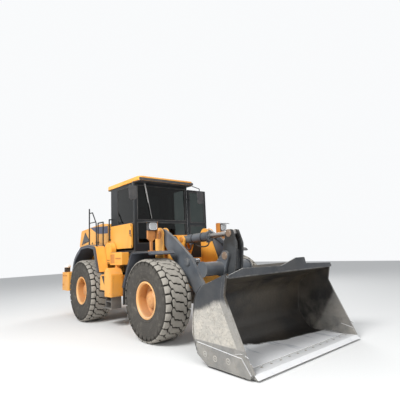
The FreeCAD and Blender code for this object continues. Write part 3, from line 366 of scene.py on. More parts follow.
painted("greased paint", (0.024, 0.028, 0.032), (0.050, 0.055, 0.060), (0.30, 0.28, 0.25), rough=0.38, wear=0.9, width=0.016,
        dusty=0.25, streaks=0.6, bare=0.5)
tree = finishes["greased paint"].node_tree
shader = tree.nodes["Principled BSDF"]
here = put(tree, "TexCoord").outputs["Object"]
from_pin = put(tree, "VectorMath", {"operation": "DISTANCE"}, Vector=put(tree, "Mapping", Vector=here, Scale=(0.0, 1.0, 0.8)).outputs[0])
from_pin.inputs[1].default_value = (0.0, -2.353, 0.8 * 2.036)
smudge = put(tree, "TexNoise", Vector=here, Scale=6.0, Detail=5.0, Roughness=0.6)
grease = span(tree, calc(tree, "MULTIPLY_ADD", smudge.outputs[0], 0.5, from_pin.outputs["Value"]), 0.56, 0.36, 0.0, 0.9)
tree.links.new(colours(tree, grease, shader.inputs["Base Color"].links[0].from_socket, (0.012, 0.011, 0.010)),
               shader.inputs["Base Color"])
painted("step paint", (0.05, 0.052, 0.055), (0.08, 0.08, 0.08), (0.25, 0.24, 0.22), rough=0.6, wear=0.8, dusty=0.45, bare=0.4)
painted("band paint", (0.030, 0.040, 0.095), (0.045, 0.058, 0.12), (0.10, 0.10, 0.12), rough=0.4, wear=0.3, dusty=0.25)
painted("cast iron", (0.055, 0.052, 0.05), (0.085, 0.078, 0.07), (0.16, 0.13, 0.1), rough=0.62, wear=0.4, dusty=0.9, foot=1.6,
        coat=0.0, dents=16.0)
print("paints:", len(finishes))

# %% [markdown]
# ### Bucket steel
# A bucket starts painted like the arms. Digging rubs the floor and the lower sides bare and bright, while the
# back wall of the bowl is caked with dark, damp earth, and that dark is also painted shade, as on the inner
# faces of the side plates. The bright floor is polished steel and painted sunlight, and it ends along a slanted
# line that is a painted shadow edge; a bright bare patch on the inner side plates is painted sunlight bounded by
# a painted shadow line. The masks use where a point lies and which way it faces: the floor faces up and lies
# low, the bowl faces forward or towards the middle.

# %% Bucket steel


def bucket_finish(name, bare_to, pale, soot):
    tree, shader = new_finish(name)
    here = put(tree, "TexCoord")
    where = put(tree, "SeparateXYZ", Vector=here.outputs["Object"])
    facing = put(tree, "SeparateXYZ", Vector=here.outputs["Normal"])
    cloud = put(tree, "TexNoise", Vector=here.outputs["Object"], Scale=2.4, Detail=7.0, Roughness=0.68)
    wobble = calc(tree, "MULTIPLY_ADD", cloud.outputs[0], 0.30, -0.15)
    rise = calc(tree, "ADD", where.outputs[2], wobble)
    worn_line = calc(tree, "MULTIPLY_ADD", where.outputs[1], -0.3, bare_to)
    outside = span(tree, calc(tree, "SUBTRACT", rise, worn_line), 0.05, -0.05)
    forward = span(tree, facing.outputs[1], -0.2, -0.45)
    inward = span(tree, calc(tree, "MULTIPLY", facing.outputs[0], calc(tree, "SIGN", where.outputs[0])), -0.3, -0.6)
    ceiling = span(tree, facing.outputs[2], -0.1, -0.4)
    bowl = calc(tree, "MULTIPLY", calc(tree, "MAXIMUM", forward, ceiling), span(tree, where.outputs[1], -3.62, -3.56))
    # The slanted line below is a painted shadow edge: the bright floor stops there.
    shadow_slant = calc(tree, "MULTIPLY_ADD", where.outputs[0], 0.16, where.outputs[1])
    polished_till_shadow = span(tree, calc(tree, "MULTIPLY_ADD", wobble, 0.6, shadow_slant), -3.08, -3.13)
    upward = calc(tree, "MULTIPLY", span(tree, facing.outputs[2], 0.45, 0.75), span(tree, where.outputs[2], 0.6, 0.4))
    lit_polished_floor = calc(tree, "MULTIPLY", upward, polished_till_shadow)
    within = calc(tree, "MAXIMUM", bowl, upward)
    # A diagonal across the inner side plates is a painted shadow edge; on its bright side the bare steel stands for
    # painted sunlight.
    side_shadow_edge = calc(tree, "MULTIPLY_ADD", where.outputs[1], 1.55, calc(tree, "ADD", where.outputs[2], 4.76))
    side_bare_and_sunlit = calc(tree, "MULTIPLY", inward, span(tree, calc(tree, "ADD", side_shadow_edge, wobble), 0.04, -0.12, 0.0, 0.62))
    bare = calc(tree, "MULTIPLY", outside, calc(tree, "SUBTRACT", 1.0, calc(tree, "MAXIMUM", within, inward), clamp=True))
    bare = calc(tree, "MAXIMUM", calc(tree, "MAXIMUM", bare, lit_polished_floor), side_bare_and_sunlit)
    edge = use(tree, edge_wear, Amount=0.8, Width=0.02, Grain=9.0)["Mask"]
    bare = calc(tree, "MAXIMUM", bare, calc(tree, "MULTIPLY", edge, calc(tree, "SUBTRACT", 1.0, bowl, clamp=True)))
    scored = use(tree, scores, Amount=0.8, Grain=22.0)["Mask"]
    drift = use(tree, runs, Amount=0.5, Grain=7.0)
    paint = colours(tree, drift["Drift"], soot, [c * 1.6 for c in soot])
    broad = put(tree, "TexNoise", Vector=here.outputs["Object"], Scale=1.3, Detail=5.0, Roughness=0.6)
    height_up = span(tree, where.outputs[2], 0.35, 1.15)
    cake = calc(tree, "MULTIPLY", span(tree, broad.outputs[0], 0.38, 0.62), calc(tree, "MULTIPLY_ADD", height_up, 0.75, 0.25))
    cake = calc(tree, "MAXIMUM", cake, calc(tree, "MULTIPLY", drift["Mask"], 0.8))
    # This colour is dark earth and painted shade, used inside the bowl and on the inner side plates.
    mud_and_shade = colours(tree, cake, (0.011, 0.010, 0.0095), (0.068, 0.055, 0.039))
    paint = colours(tree, calc(tree, "MAXIMUM", within, calc(tree, "MULTIPLY", inward, 0.8)), paint, mud_and_shade)
    steel = colours(tree, cloud.outputs[0], (0.34, 0.32, 0.285), (0.62, 0.58, 0.51))
    heel = calc(tree, "MULTIPLY", span(tree, where.outputs[2], 0.368, 0.352), span(tree, cloud.outputs[0], 0.3, 0.6, 0.5, 0.9))
    strip = span(tree, calc(tree, "MULTIPLY_ADD", where.outputs[2], -0.512, where.outputs[1]), -3.897, -3.917, 0.0, 0.6)
    dull = calc(tree, "MAXIMUM", calc(tree, "MAXIMUM", heel, strip), calc(tree, "MULTIPLY", inward, 0.62))
    steel = colours(tree, dull, steel, (0.13, 0.132, 0.132))
    steel = colours(tree, calc(tree, "MULTIPLY", scored, 0.5), steel, (0.20, 0.20, 0.20))
    # The near-white floor is polished steel and painted sunlight.
    steel = colours(tree, calc(tree, "MULTIPLY", lit_polished_floor, pale), steel, (0.93, 0.935, 0.94))
    # Bluish streaks on the floor are a painted sky reflection.
    drawn = put(tree, "Mapping", Vector=here.outputs["Object"], Scale=(1.0, 0.22, 1.0))
    sky_reflection_streaks = put(tree, "TexNoise", Vector=drawn.outputs[0], Scale=5.0, Detail=6.0, Roughness=0.6)
    steel = colours(tree, calc(tree, "MULTIPLY", lit_polished_floor, span(tree, sky_reflection_streaks.outputs[0], 0.54, 0.68, 0.0, 0.45)), steel, (0.32, 0.36, 0.42))
    vein = put(tree, "TexNoise", Vector=here.outputs["Object"], Scale=7.0, Detail=5.0, Roughness=0.55)
    crack = span(tree, calc(tree, "ABSOLUTE", calc(tree, "SUBTRACT", vein.outputs[0], 0.5)), 0.022, 0.006, 0.0, 0.4)
    steel = colours(tree, calc(tree, "MULTIPLY", crack, calc(tree, "SUBTRACT", 1.0, lit_polished_floor)), steel, (0.16, 0.14, 0.115))
    colour = colours(tree, bare, paint, steel)
    lie = use(tree, dust, Amount=0.28, Foot=0.9, Grain=3.4)
    settled = calc(tree, "MULTIPLY", lie["Mask"], calc(tree, "SUBTRACT", 1.0, within, clamp=True))
    colour = colours(tree, settled, colour, (0.60, 0.55, 0.47))
    tree.links.new(colour, shader.inputs["Base Color"])
    shine = calc(tree, "MULTIPLY", bare, calc(tree, "SUBTRACT", 1.0, settled, clamp=True))
    tree.links.new(calc(tree, "MULTIPLY", shine, 0.15), shader.inputs["Metallic"])
    matt = calc(tree, "MULTIPLY_ADD", settled, 0.3, 0.46)
    tree.links.new(calc(tree, "SUBTRACT", matt, calc(tree, "MULTIPLY", scored, 0.12), clamp=True), shader.inputs["Roughness"])
    height = calc(tree, "MULTIPLY_ADD", scored, -0.5, use(tree, skin, Grain=90.0, Dents=11.0)["Height"])
    bump(tree, shader, height, 0.45, 0.003)
    return finishes[name]


bucket_finish("bucket steel", -0.075, 0.97, (0.020, 0.023, 0.028))
bucket_finish("lip steel", 3.0, 0.7, (0.3, 0.29, 0.27))

# %% [markdown]
# ### Plain metals
# Pins and cylinder rods are turned and ground, so they are mirror-like with fine rings; the lip and wear strips
# are rolled plate. Each is metal all over, so the number sits on the shader's own socket.

# %% Metals


def metal(name, light, dark, rough, grain, stretch, dusty=0.2):
    tree, shader = new_finish(name)
    here = put(tree, "TexCoord").outputs["Object"]
    along = put(tree, "Mapping", Vector=here, Scale=stretch)
    fine = put(tree, "TexNoise", Vector=along.outputs[0], Scale=grain, Detail=4.0)
    lie = use(tree, dust, Amount=dusty, Foot=1.0, Grain=5.0)
    colour = colours(tree, fine.outputs[0], dark, light)
    tree.links.new(colours(tree, lie["Mask"], colour, DUST), shader.inputs["Base Color"])
    shader.inputs["Metallic"].default_value = 1.0
    spread = calc(tree, "MULTIPLY_ADD", fine.outputs[0], 0.14, rough - 0.07)
    tree.links.new(calc(tree, "MULTIPLY_ADD", lie["Mask"], 0.5, spread, clamp=True), shader.inputs["Roughness"])
    bump(tree, shader, fine.outputs[0], 0.12, 0.001)
    return finishes[name]


metal("chrome", (0.80, 0.80, 0.81), (0.62, 0.62, 0.63), 0.12, 60.0, (1, 1, 1), 0.12)
metal("pin steel", (0.52, 0.51, 0.50), (0.30, 0.29, 0.28), 0.38, 45.0, (0.4, 1, 1), 0.5)
metal("worn bright steel", (0.68, 0.66, 0.63), (0.36, 0.35, 0.33), 0.36, 24.0, (0.15, 1, 1), 0.4)
metal("reflector", (0.92, 0.92, 0.93), (0.82, 0.82, 0.84), 0.1, 30.0, (1, 1, 1), 0.05)
metal("lamp bowl", (0.97, 0.97, 0.97), (0.93, 0.93, 0.94), 0.5, 30.0, (1, 1, 1), 0.0)

# %% [markdown]
# ### Rubber, plastic, cloth and glass
# Tyre rubber is nearly black, but a working tyre is coated with grey dust, rubbed off the sides in patches. The
# block tops are pale with dust and painted light, and the groove floors are painted dark as shade. Hoses and
# seals are cleaner rubber. Glass is tinted with a thin dust film, which shows as roughness rather than colour.

# %% Rubber and plastics


def soft_black(name, base, dusty, rough, grain, depth, low_dust=(0.30, 0.27, 0.24), foot=1.6):
    tree, shader = new_finish(name)
    here = put(tree, "TexCoord").outputs["Object"]
    fine = put(tree, "TexNoise", Vector=here, Scale=grain, Detail=5.0)
    patch = put(tree, "TexNoise", Vector=here, Scale=7.0, Detail=5.0, Roughness=0.7)
    cover = calc(tree, "MULTIPLY", span(tree, patch.outputs[0], 0.3, 0.72), dusty)
    colour = colours(tree, fine.outputs[0], base, [c * 1.6 for c in base])
    colour = colours(tree, cover, colour, low_dust)
    tree.links.new(colour, shader.inputs["Base Color"])
    tree.links.new(calc(tree, "MULTIPLY_ADD", cover, 0.3, rough, clamp=True), shader.inputs["Roughness"])
    bump(tree, shader, fine.outputs[0], 0.35, depth)
    return finishes[name]


soft_black("hose rubber", (0.012, 0.012, 0.013), 0.3, 0.5, 160.0, 0.001)
soft_black("seal rubber", (0.012, 0.012, 0.013), 0.2, 0.6, 200.0, 0.0006)
soft_black("moulded plastic", (0.022, 0.022, 0.024), 0.15, 0.55, 420.0, 0.0006)
soft_black("grey plastic", (0.13, 0.13, 0.13), 0.2, 0.5, 420.0, 0.0006)

# %% Tyre rubber
# across is the local X of a wheel, and the distance from the axle tells a block's top from the groove beside it
tree, shader = new_finish("tyre rubber")
here = put(tree, "TexCoord").outputs["Object"]
where = put(tree, "SeparateXYZ", Vector=here)
out = calc(tree, "SQRT", calc(tree, "ADD", calc(tree, "POWER", where.outputs[1], 2.0), calc(tree, "POWER", where.outputs[2], 2.0)))
shoulder = calc(tree, "MAXIMUM", calc(tree, "SUBTRACT", calc(tree, "ABSOLUTE", where.outputs[0]), 0.15), 0.0)
out_level = calc(tree, "MULTIPLY_ADD", calc(tree, "POWER", shoulder, 2.0), 1.65, out)
block_top = span(tree, out_level, 0.777, 0.791)
groove = span(tree, out_level, 0.735, 0.765)
fine = put(tree, "TexNoise", Vector=here, Scale=70.0, Detail=6.0)
patch = put(tree, "TexNoise", Vector=here, Scale=9.0, Detail=5.0, Roughness=0.7)
rings = put(tree, "TexNoise", {"noise_dimensions": "1D"}, W=calc(tree, "MULTIPLY", out, 60.0), Scale=1.0, Detail=3.0)
wall = colours(tree, rings.outputs[0], (0.036, 0.034, 0.031), (0.080, 0.072, 0.062))
wall = colours(tree, calc(tree, "MULTIPLY", span(tree, patch.outputs[0], 0.45, 0.8), 0.5), wall, (0.20, 0.18, 0.15))
# The groove floor colour is painted shade.
groove_shade = colours(tree, fine.outputs[0], (0.016, 0.015, 0.013), (0.05, 0.045, 0.038))
# The block top colour is dust and painted light.
dusty_lit_tops = colours(tree, patch.outputs[0], (0.20, 0.185, 0.16), (0.40, 0.37, 0.325))
rubber = colours(tree, block_top, colours(tree, groove, wall, groove_shade), dusty_lit_tops)
tree.links.new(rubber, shader.inputs["Base Color"])
shader.inputs["Roughness"].default_value = 0.82
shader.inputs["Specular IOR Level"].default_value = 0.3
bump(tree, shader, calc(tree, "ADD", fine.outputs[0], rings.outputs[0]), 0.3, 0.003)

# %% Seat cloth
tree, shader = new_finish("seat cloth")
here = put(tree, "TexCoord").outputs["Object"]
warp = put(tree, "TexWave", {"bands_direction": "X"}, Vector=here, Scale=260.0, Distortion=0.4)
weft = put(tree, "TexWave", {"bands_direction": "Z"}, Vector=here, Scale=260.0, Distortion=0.4)
weave = calc(tree, "MULTIPLY", warp.outputs["Fac"], weft.outputs["Fac"])
patch = put(tree, "TexNoise", Vector=here, Scale=9.0, Detail=4.0)
cloth = colours(tree, weave, (0.022, 0.022, 0.025), (0.075, 0.074, 0.078))
cloth = colours(tree, span(tree, patch.outputs[0], 0.55, 0.75, 0.0, 0.35), cloth, (0.2, 0.18, 0.15))
tree.links.new(cloth, shader.inputs["Base Color"])
shader.inputs["Roughness"].default_value = 0.88
shader.inputs["Sheen Weight"].default_value = 0.3
bump(tree, shader, weave, 0.5, 0.0012)

# %% Glass and lenses


def glassy(name, tint, rough, film, see_through=1.0):
    tree, shader = new_finish(name)
    lie = use(tree, dust, Amount=film, Foot=3.4, Grain=4.0)
    streak = use(tree, runs, Amount=0.5, Grain=18.0)["Mask"]
    dirty = calc(tree, "ADD", lie["Mask"], calc(tree, "MULTIPLY", streak, film), clamp=True)
    tree.links.new(colours(tree, dirty, tint, (0.40, 0.38, 0.34)), shader.inputs["Base Color"])
    tree.links.new(calc(tree, "MULTIPLY_ADD", dirty, 0.35, rough, clamp=True), shader.inputs["Roughness"])
    shader.inputs["Transmission Weight"].default_value = see_through
    shader.inputs["IOR"].default_value = 1.3
    return finishes[name]


glassy("cab glass", (0.030, 0.040, 0.038), 0.02, 0.09)
glassy("clear lens", (0.95, 0.96, 0.97), 0.08, 0.1, 0.55)
glassy("amber lens", (0.95, 0.36, 0.03), 0.12, 0.2, 0.6)
glassy("red lens", (0.72, 0.02, 0.015), 0.12, 0.2, 0.6)


# %% Floor finish
tree, shader = new_finish("floor")
grit = put(tree, "TexNoise", Vector=put(tree, "TexCoord").outputs["Object"], Scale=40.0, Detail=4.0)
tree.links.new(colours(tree, grit.outputs[0], (0.70, 0.70, 0.69), (0.76, 0.76, 0.75)), shader.inputs["Base Color"])
shader.inputs["Roughness"].default_value = 0.9
floor.data.materials.append(finishes["floor"])
print("finishes:", len(finishes))

# %% [markdown]
# ## Paint the solids
# Every solid gets the finish that its real part has. A table does it: one line a finish, with the parts' names.

# %% Finish of each solid
FINISH_OF = {
    "yellow paint": "counterweight tanks side_boxes platforms engine_cover hood cab_side_panel cab_roof front_frame",
    "slate paint": "boom tilt_link tilt_barrel lift_barrel_left lift_barrel_right",
    "greased paint": "bellcrank",
    "fender paint": "front_fender_left front_fender_right rear_fender_left rear_fender_right",
    "black paint": "rear_frame cooler rear_grille cab_frame cab_door handrails exhaust_stack steer_barrel_left steer_barrel_right",
    "step paint": "steps",
    "cast iron": "engine rear_axle front_axle drive_shaft_rear drive_shaft_front",
    "chrome": "lift_rod_left lift_rod_right steer_rod_left steer_rod_right",
    "pin steel": "bucket_pins bellcrank_pin link_pin tilt_rod",
    "bucket steel": "bucket",
    "lip steel": "cutting_edge",
    "cab glass": "cab_glass cab_door_glass",
    "moulded plastic": "steering_column seat",
    "rim paint": "rim_front_left rim_front_right rim_rear_left rim_rear_right",
    "tyre rubber": "tyre_front_left tyre_front_right tyre_rear_left tyre_rear_right",
    "shaded yellow paint": "headlamps tail_lamps",
}
for finish, names in FINISH_OF.items():
    for name in names.split():
        slots = nodes[name].data.materials
        slots.clear()
        slots.append(finishes[finish])
missed = [n for n, o in nodes.items() if not o.data.materials or o.data.materials[0].name not in finishes]
print("solids without a finish:", missed)

# %% [markdown]
# ## Tools for making pieces
# Small machine parts are blocks, bars, turned shapes, bent plates and hexagon bolts. A piece collects several
# of these in one mesh, then a bevel modifier rounds its edges, because real steel never has a knife edge.

# %% Piece maker


class Piece:
    def __init__(self):
        self.bm = bmesh.new()

    def add(self, points, faces):
        made = [self.bm.verts.new(p) for p in points]
        for face in faces:
            self.bm.faces.new([made[i] for i in face])

    def block(self, x0, x1, y0, y1, z0, z1):
        corners = [spot(x, y, z) for x in (x0, x1) for y in (y0, y1) for z in (z0, z1)]
        self.add(corners, ((0, 1, 3, 2), (4, 6, 7, 5), (0, 4, 5, 1), (2, 3, 7, 6), (0, 2, 6, 4), (1, 5, 7, 3)))

    def turned(self, centre, axis, profile, sides=32, start=0.0):
        # profile is (distance along the axis, radius) in millimetres; a radius of 0 closes the end
        axis = Vector(axis).normalized()
        aside = axis.orthogonal().normalized()
        other = axis.cross(aside)
        middle = spot(*centre)
        rows = []
        for reach, radius in profile:
            if radius == 0:
                rows.append([self.bm.verts.new(middle + axis * reach / 1000.0)])
                continue
            ring = []
            for k in range(sides):
                a = 2 * math.pi * k / sides + start
                out = aside * math.cos(a) + other * math.sin(a)
                ring.append(self.bm.verts.new(middle + axis * reach / 1000.0 + out * radius / 1000.0))
            rows.append(ring)
        for one, two in zip(rows, rows[1:]):
            for k in range(sides):
                n = (k + 1) % sides
                if len(one) == 1:
                    self.bm.faces.new((one[0], two[k], two[n]))
                elif len(two) == 1:
                    self.bm.faces.new((one[k], one[n], two[0]))
                else:
                    self.bm.faces.new((one[k], one[n], two[n], two[k]))
        return self

    def bar(self, a, b, r, r2=None, sides=20):
        run = spot(*b) - spot(*a)
        length = run.length * 1000.0
        self.turned(a, run, ((0, 0), (0, r), (length, r if r2 is None else r2), (length, 0)), sides)

    def bolt(self, centre, axis, r=12.0, h=11.0):
        self.turned(centre, axis, ((0, 0), (0, r * 1.55), (3, r * 1.5), (3, r * 1.15)), 16)
        self.turned(centre, axis, ((2, r * 1.12), (h, r * 1.1), (h + 1.5, r * 0.9), (h + 1.5, 0)), 6)

    def sheet(self, x0, x1, outline, axis=0):
        # an outline drawn in the two other directions, as thick as x0 to x1 along the axis
        def corner(t, u, v):
            return spot(*((t, u, v), (u, t, v), (u, v, t))[axis])
        count = len(outline)
        points = [corner(x0, u, v) for u, v in outline] + [corner(x1, u, v) for u, v in outline]
        faces = [tuple(range(count)), tuple(range(2 * count - 1, count - 1, -1))]
        for i in range(count):
            j = (i + 1) % count
            faces.append((i, i + count, j + count, j))
        self.add(points, faces)

    def done(self, name, body, finish, bevel=2.0, angle=32.0, steps=2):
        bmesh.ops.recalc_face_normals(self.bm, faces=self.bm.faces)
        mesh = bpy.data.meshes.new(name)
        self.bm.to_mesh(mesh)
        self.bm.free()
        return dress(mesh, name, body, finish, bevel, angle, steps)


def dress(mesh, name, body, finish, bevel=0.0, angle=32.0, steps=2):
    made = bpy.data.objects.new(name, mesh)
    scene.collection.objects.link(made)
    if not mesh.materials:
        mesh.materials.append(finishes[finish])
    for polygon in mesh.polygons:
        polygon.use_smooth = True
    mesh.set_sharp_from_angle(angle=math.radians(angle))
    if bevel:
        soft_edge = made.modifiers.new("soft edge", "BEVEL")
        soft_edge.width = bevel / 1000.0
        soft_edge.segments = steps
        soft_edge.limit_method = "ANGLE"
        soft_edge.angle_limit = math.radians(angle)
        soft_edge.harden_normals = True
    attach(made, body)
    return made


def hoses(name, body, lines, radius, finish="hose rubber"):
    # each line is a list of workshop points that one smooth hose follows
    curve = bpy.data.curves.new(name, "CURVE")
    curve.dimensions = "3D"
    curve.bevel_depth = radius / 1000.0
    curve.bevel_resolution = 3
    curve.resolution_u = 8
    curve.use_fill_caps = True
    for line in lines:
        spline = curve.splines.new("NURBS")
        spline.points.add(len(line) - 1)
        for point, place in zip(spline.points, line):
            point.co = (*spot(*place), 1.0)
        spline.order_u = 3
        spline.use_endpoint_u = True
    made = bpy.data.objects.new(name, curve)
    scene.collection.objects.link(made)
    curve.materials.append(finishes[finish])
    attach(made, body)
    return made


# %% [markdown]
# ## Tyres
# A rock tyre has stepped blocks across its middle and a row of smaller ones at each shoulder, 30 mm deep. The casing
# is one turned profile. The blocks could be a height texture, but real blocks catch light and show in outline,
# so each one is an outline wrapped round the tread and raised, with its top drawn in a little as moulds need.

# %% Tyre casing and blocks
GROOVE = 30.0
PITCHES = 30
TREAD_R = 799.0


def crown(across):
    # radius of the block tops at that distance from the tyre's middle, in millimetres
    side = max(abs(across) - 150.0, 0.0) / 140.0
    return TREAD_R - 9.0 * side ** 2 - 26.0 * max(side - 0.6, 0.0) ** 2 * 6.0


def wheel_point(across, around, radius):
    return Vector((across, -math.sin(around) * radius, math.cos(around) * radius)) / 1000.0


def inset(outline, by):
    # moves each edge of a flat outline inward by the same distance
    turn = sum(a[0] * b[1] - b[0] * a[1] for a, b in zip(outline, outline[1:] + outline[:1]))
    result = []
    for i, here in enumerate(outline):
        one = (Vector(here) - Vector(outline[i - 1])).normalized()
        two = (Vector(outline[(i + 1) % len(outline)]) - Vector(here)).normalized()
        mitre = Vector((-one.y - two.y, one.x + two.x))
        mitre *= 2.0 / max(mitre.length_squared, 1.0)
        result.append(Vector(here) + mitre * (by if turn > 0 else -by))
    return result


def add_block(bm, outline, spine):
    # outline is (across mm, around mm on the tread); rings go from under the casing to the rounded top, and a
    # spine along the top keeps it round
    rings = []
    for by, drop in ((-3.0, GROOVE), (2.0, 8.0), (3.5, 2.0), (8.0, 0.0)):
        rings.append([bm.verts.new(wheel_point(a, b / TREAD_R, crown(a) - drop)) for a, b in inset(outline, by)])
    for one, two in zip(rings, rings[1:]):
        for i in range(len(outline)):
            j = (i + 1) % len(outline)
            bm.faces.new((one[i], one[j], two[j], two[i]))
    top = rings[-1]
    ridge = [bm.verts.new(wheel_point(a, b / TREAD_R, crown(a))) for a, b in spine]
    if len(ridge) == 1:
        for i in range(len(top)):
            bm.faces.new((top[i], top[(i + 1) % len(top)], ridge[0]))
        return
    last = len(ridge) - 1
    for i in range(last):
        bm.faces.new((top[i], top[i + 1], ridge[i + 1], ridge[i]))
        bm.faces.new((ridge[last - i], ridge[last - i - 1], top[last + 3 + i], top[last + 2 + i]))
    bm.faces.new((top[last], top[last + 1], top[last + 2], ridge[last]))
    bm.faces.new((top[-2], top[-1], top[0], ridge[0]))


def tyre_mesh():
    bm = bmesh.new()
    profile = ((-236, 338), (-250, 372), (-268, 398), (-262, 420), (-284, 470), (-297, 545), (-297, 610), (-292, 660),
               (-284, 700), (-268, 738), (-236, 758), (-180, 765), (-90, 767), (0, 768))
    profile = profile + tuple((-a, r) for a, r in reversed(profile[:-1]))
    sides = 120
    rows = [[bm.verts.new(wheel_point(a, 2 * math.pi * k / sides, r)) for k in range(sides)] for a, r in profile]
    for one, two in zip(rows, rows[1:]):
        for k in range(sides):
            n = (k + 1) % sides
            bm.faces.new((one[k], one[n], two[n], two[k]))
    step = 2 * math.pi / PITCHES
    pitch = step * TREAD_R
    half = 0.415
    stairs = ((116, 0.49), (82, 0.09), (12, 0.05), (-12, -0.05), (-82, -0.09), (-116, -0.49))
    middle = [(150, 0.52 - half)] + [(a, b - half) for a, b in stairs] + [(-150, -0.52 - half), (-174, -0.77)]
    middle = middle + [(-a, -b) for a, b in middle]
    shoulder = ((287, 0.61), (287, 1.43), (205, 1.43), (172, 1.09), (172, 0.95), (205, 0.61))
    spine = [(143, 0.52)] + list(stairs) + [(-143, -0.52)]
    for k in range(PITCHES):
        add_block(bm, [(a, (k + b) * pitch) for a, b in middle], [(a, (k + b) * pitch) for a, b in spine])
        for side in (-1, 1):
            add_block(bm, [(side * a, (k + side * b) * pitch) for a, b in shoulder], [(side * 232, (k + side * 1.02) * pitch)])
            turn = (k + side * 1.02) * step
            low = [wheel_point(side * 292.0, turn + b * step, r) for r in (668.0, 735.0) for b in (-0.36, 0.36)]
            high = [wheel_point(side * (297.0 if r < 700 else 290.0), turn + b * step, r) for r in (676.0, 742.0)
                    for b in (-0.3, 0.3)]
            made = [bm.verts.new(p) for p in low + high]
            for face in ((4, 5, 7, 6), (0, 1, 5, 4), (1, 3, 7, 5), (3, 2, 6, 7), (2, 0, 4, 6)):
                bm.faces.new([made[i] for i in face])
    bmesh.ops.recalc_face_normals(bm, faces=bm.faces)
    mesh = bpy.data.meshes.new("tyre")
    bm.to_mesh(mesh)
    bm.free()
    return mesh


tyre = tyre_mesh()
tyre.materials.append(finishes["tyre rubber"])
for name, side, y in WHEELS:
    made = bpy.data.objects.new("rock_tyre_" + name, tyre)
    made.location = spot(side * HALF_TRACK, y, AXLE_Z)
    scene.collection.objects.link(made)
    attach(made, "wheel_" + name)
    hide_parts("tyre_" + name)
for polygon in tyre.polygons:
    polygon.use_smooth = True
tyre.set_sharp_from_angle(angle=math.radians(38))
print("tyre faces:", len(tyre.polygons))

# %% [markdown]
# ## Wheel hubs
# The solid rim has the barrel and dish. What the eye looks for on it are the ring of wheel nuts, the bolted
# planet cover with its plugs, the lock ring and the valve, so one piece carries all of them.

# %% Hub furniture


def hub_piece(name, side, y):
    made = Piece()
    x = side * HALF_TRACK
    out = (side, 0, 0)
    for k in range(20):
        a = 2 * math.pi * k / 20
        made.bolt((x + side * 17, y + 222 * math.cos(a), AXLE_Z + 222 * math.sin(a)), out, 14, 24)
    for k in range(12):
        a = 2 * math.pi * (k + 0.5) / 12
        made.bolt((x + side * 133, y + 145 * math.cos(a), AXLE_Z + 145 * math.sin(a)), (side, 0.45 * math.cos(a), 0.45 * math.sin(a)), 8, 9)
    made.turned((x + side * 147, y, AXLE_Z), out, ((0, 118), (8, 116), (12, 108), (12, 52), (18, 48), (22, 38), (22, 0)), 40)
    made.bolt((x + side * 158, y + 82, AXLE_Z + 18), out, 12, 9)
    made.bolt((x + side * 158, y - 50, AXLE_Z - 68), out, 12, 9)
    made.turned((x + side * 236, y, AXLE_Z), out, ((-6, 333), (0, 345), (12, 352), (21, 350), (25, 342), (21, 333)), 72)
    made.bar((x + side * 45, y + 60, AXLE_Z - 292), (x + side * 150, y + 66, AXLE_Z - 304), 7)
    piece = made.done("hub_" + name, "wheel_" + name, "rim paint", 1.5)
    return piece


for name, side, y in WHEELS:
    hub_piece(name, side, y)
print("hubs: 4")

# %% [markdown]
# ## Lamps
# A loader's headlamp stands on a post above the fender, under a small steel visor, with the turn lamp beside it
# towards the middle. A lamp reads as real when there is a bright bowl behind a clear curved lens, so the lamp is
# built in those layers: housing, bowl, bulb, lens and rim. The tail lamps are built the same way.

# %% Headlamps
LAMP_X, LAMP_Z = 1030, 2266


def rounded_x(k):
    # a rounded square, as round car lamps are drawn: the cosine pushed outward near its ends
    c = math.cos(2 * math.pi * k / 40)
    return math.copysign(abs(c) ** 0.5, c)


def rounded_z(k):
    c = math.sin(2 * math.pi * k / 40)
    return math.copysign(abs(c) ** 0.5, c)


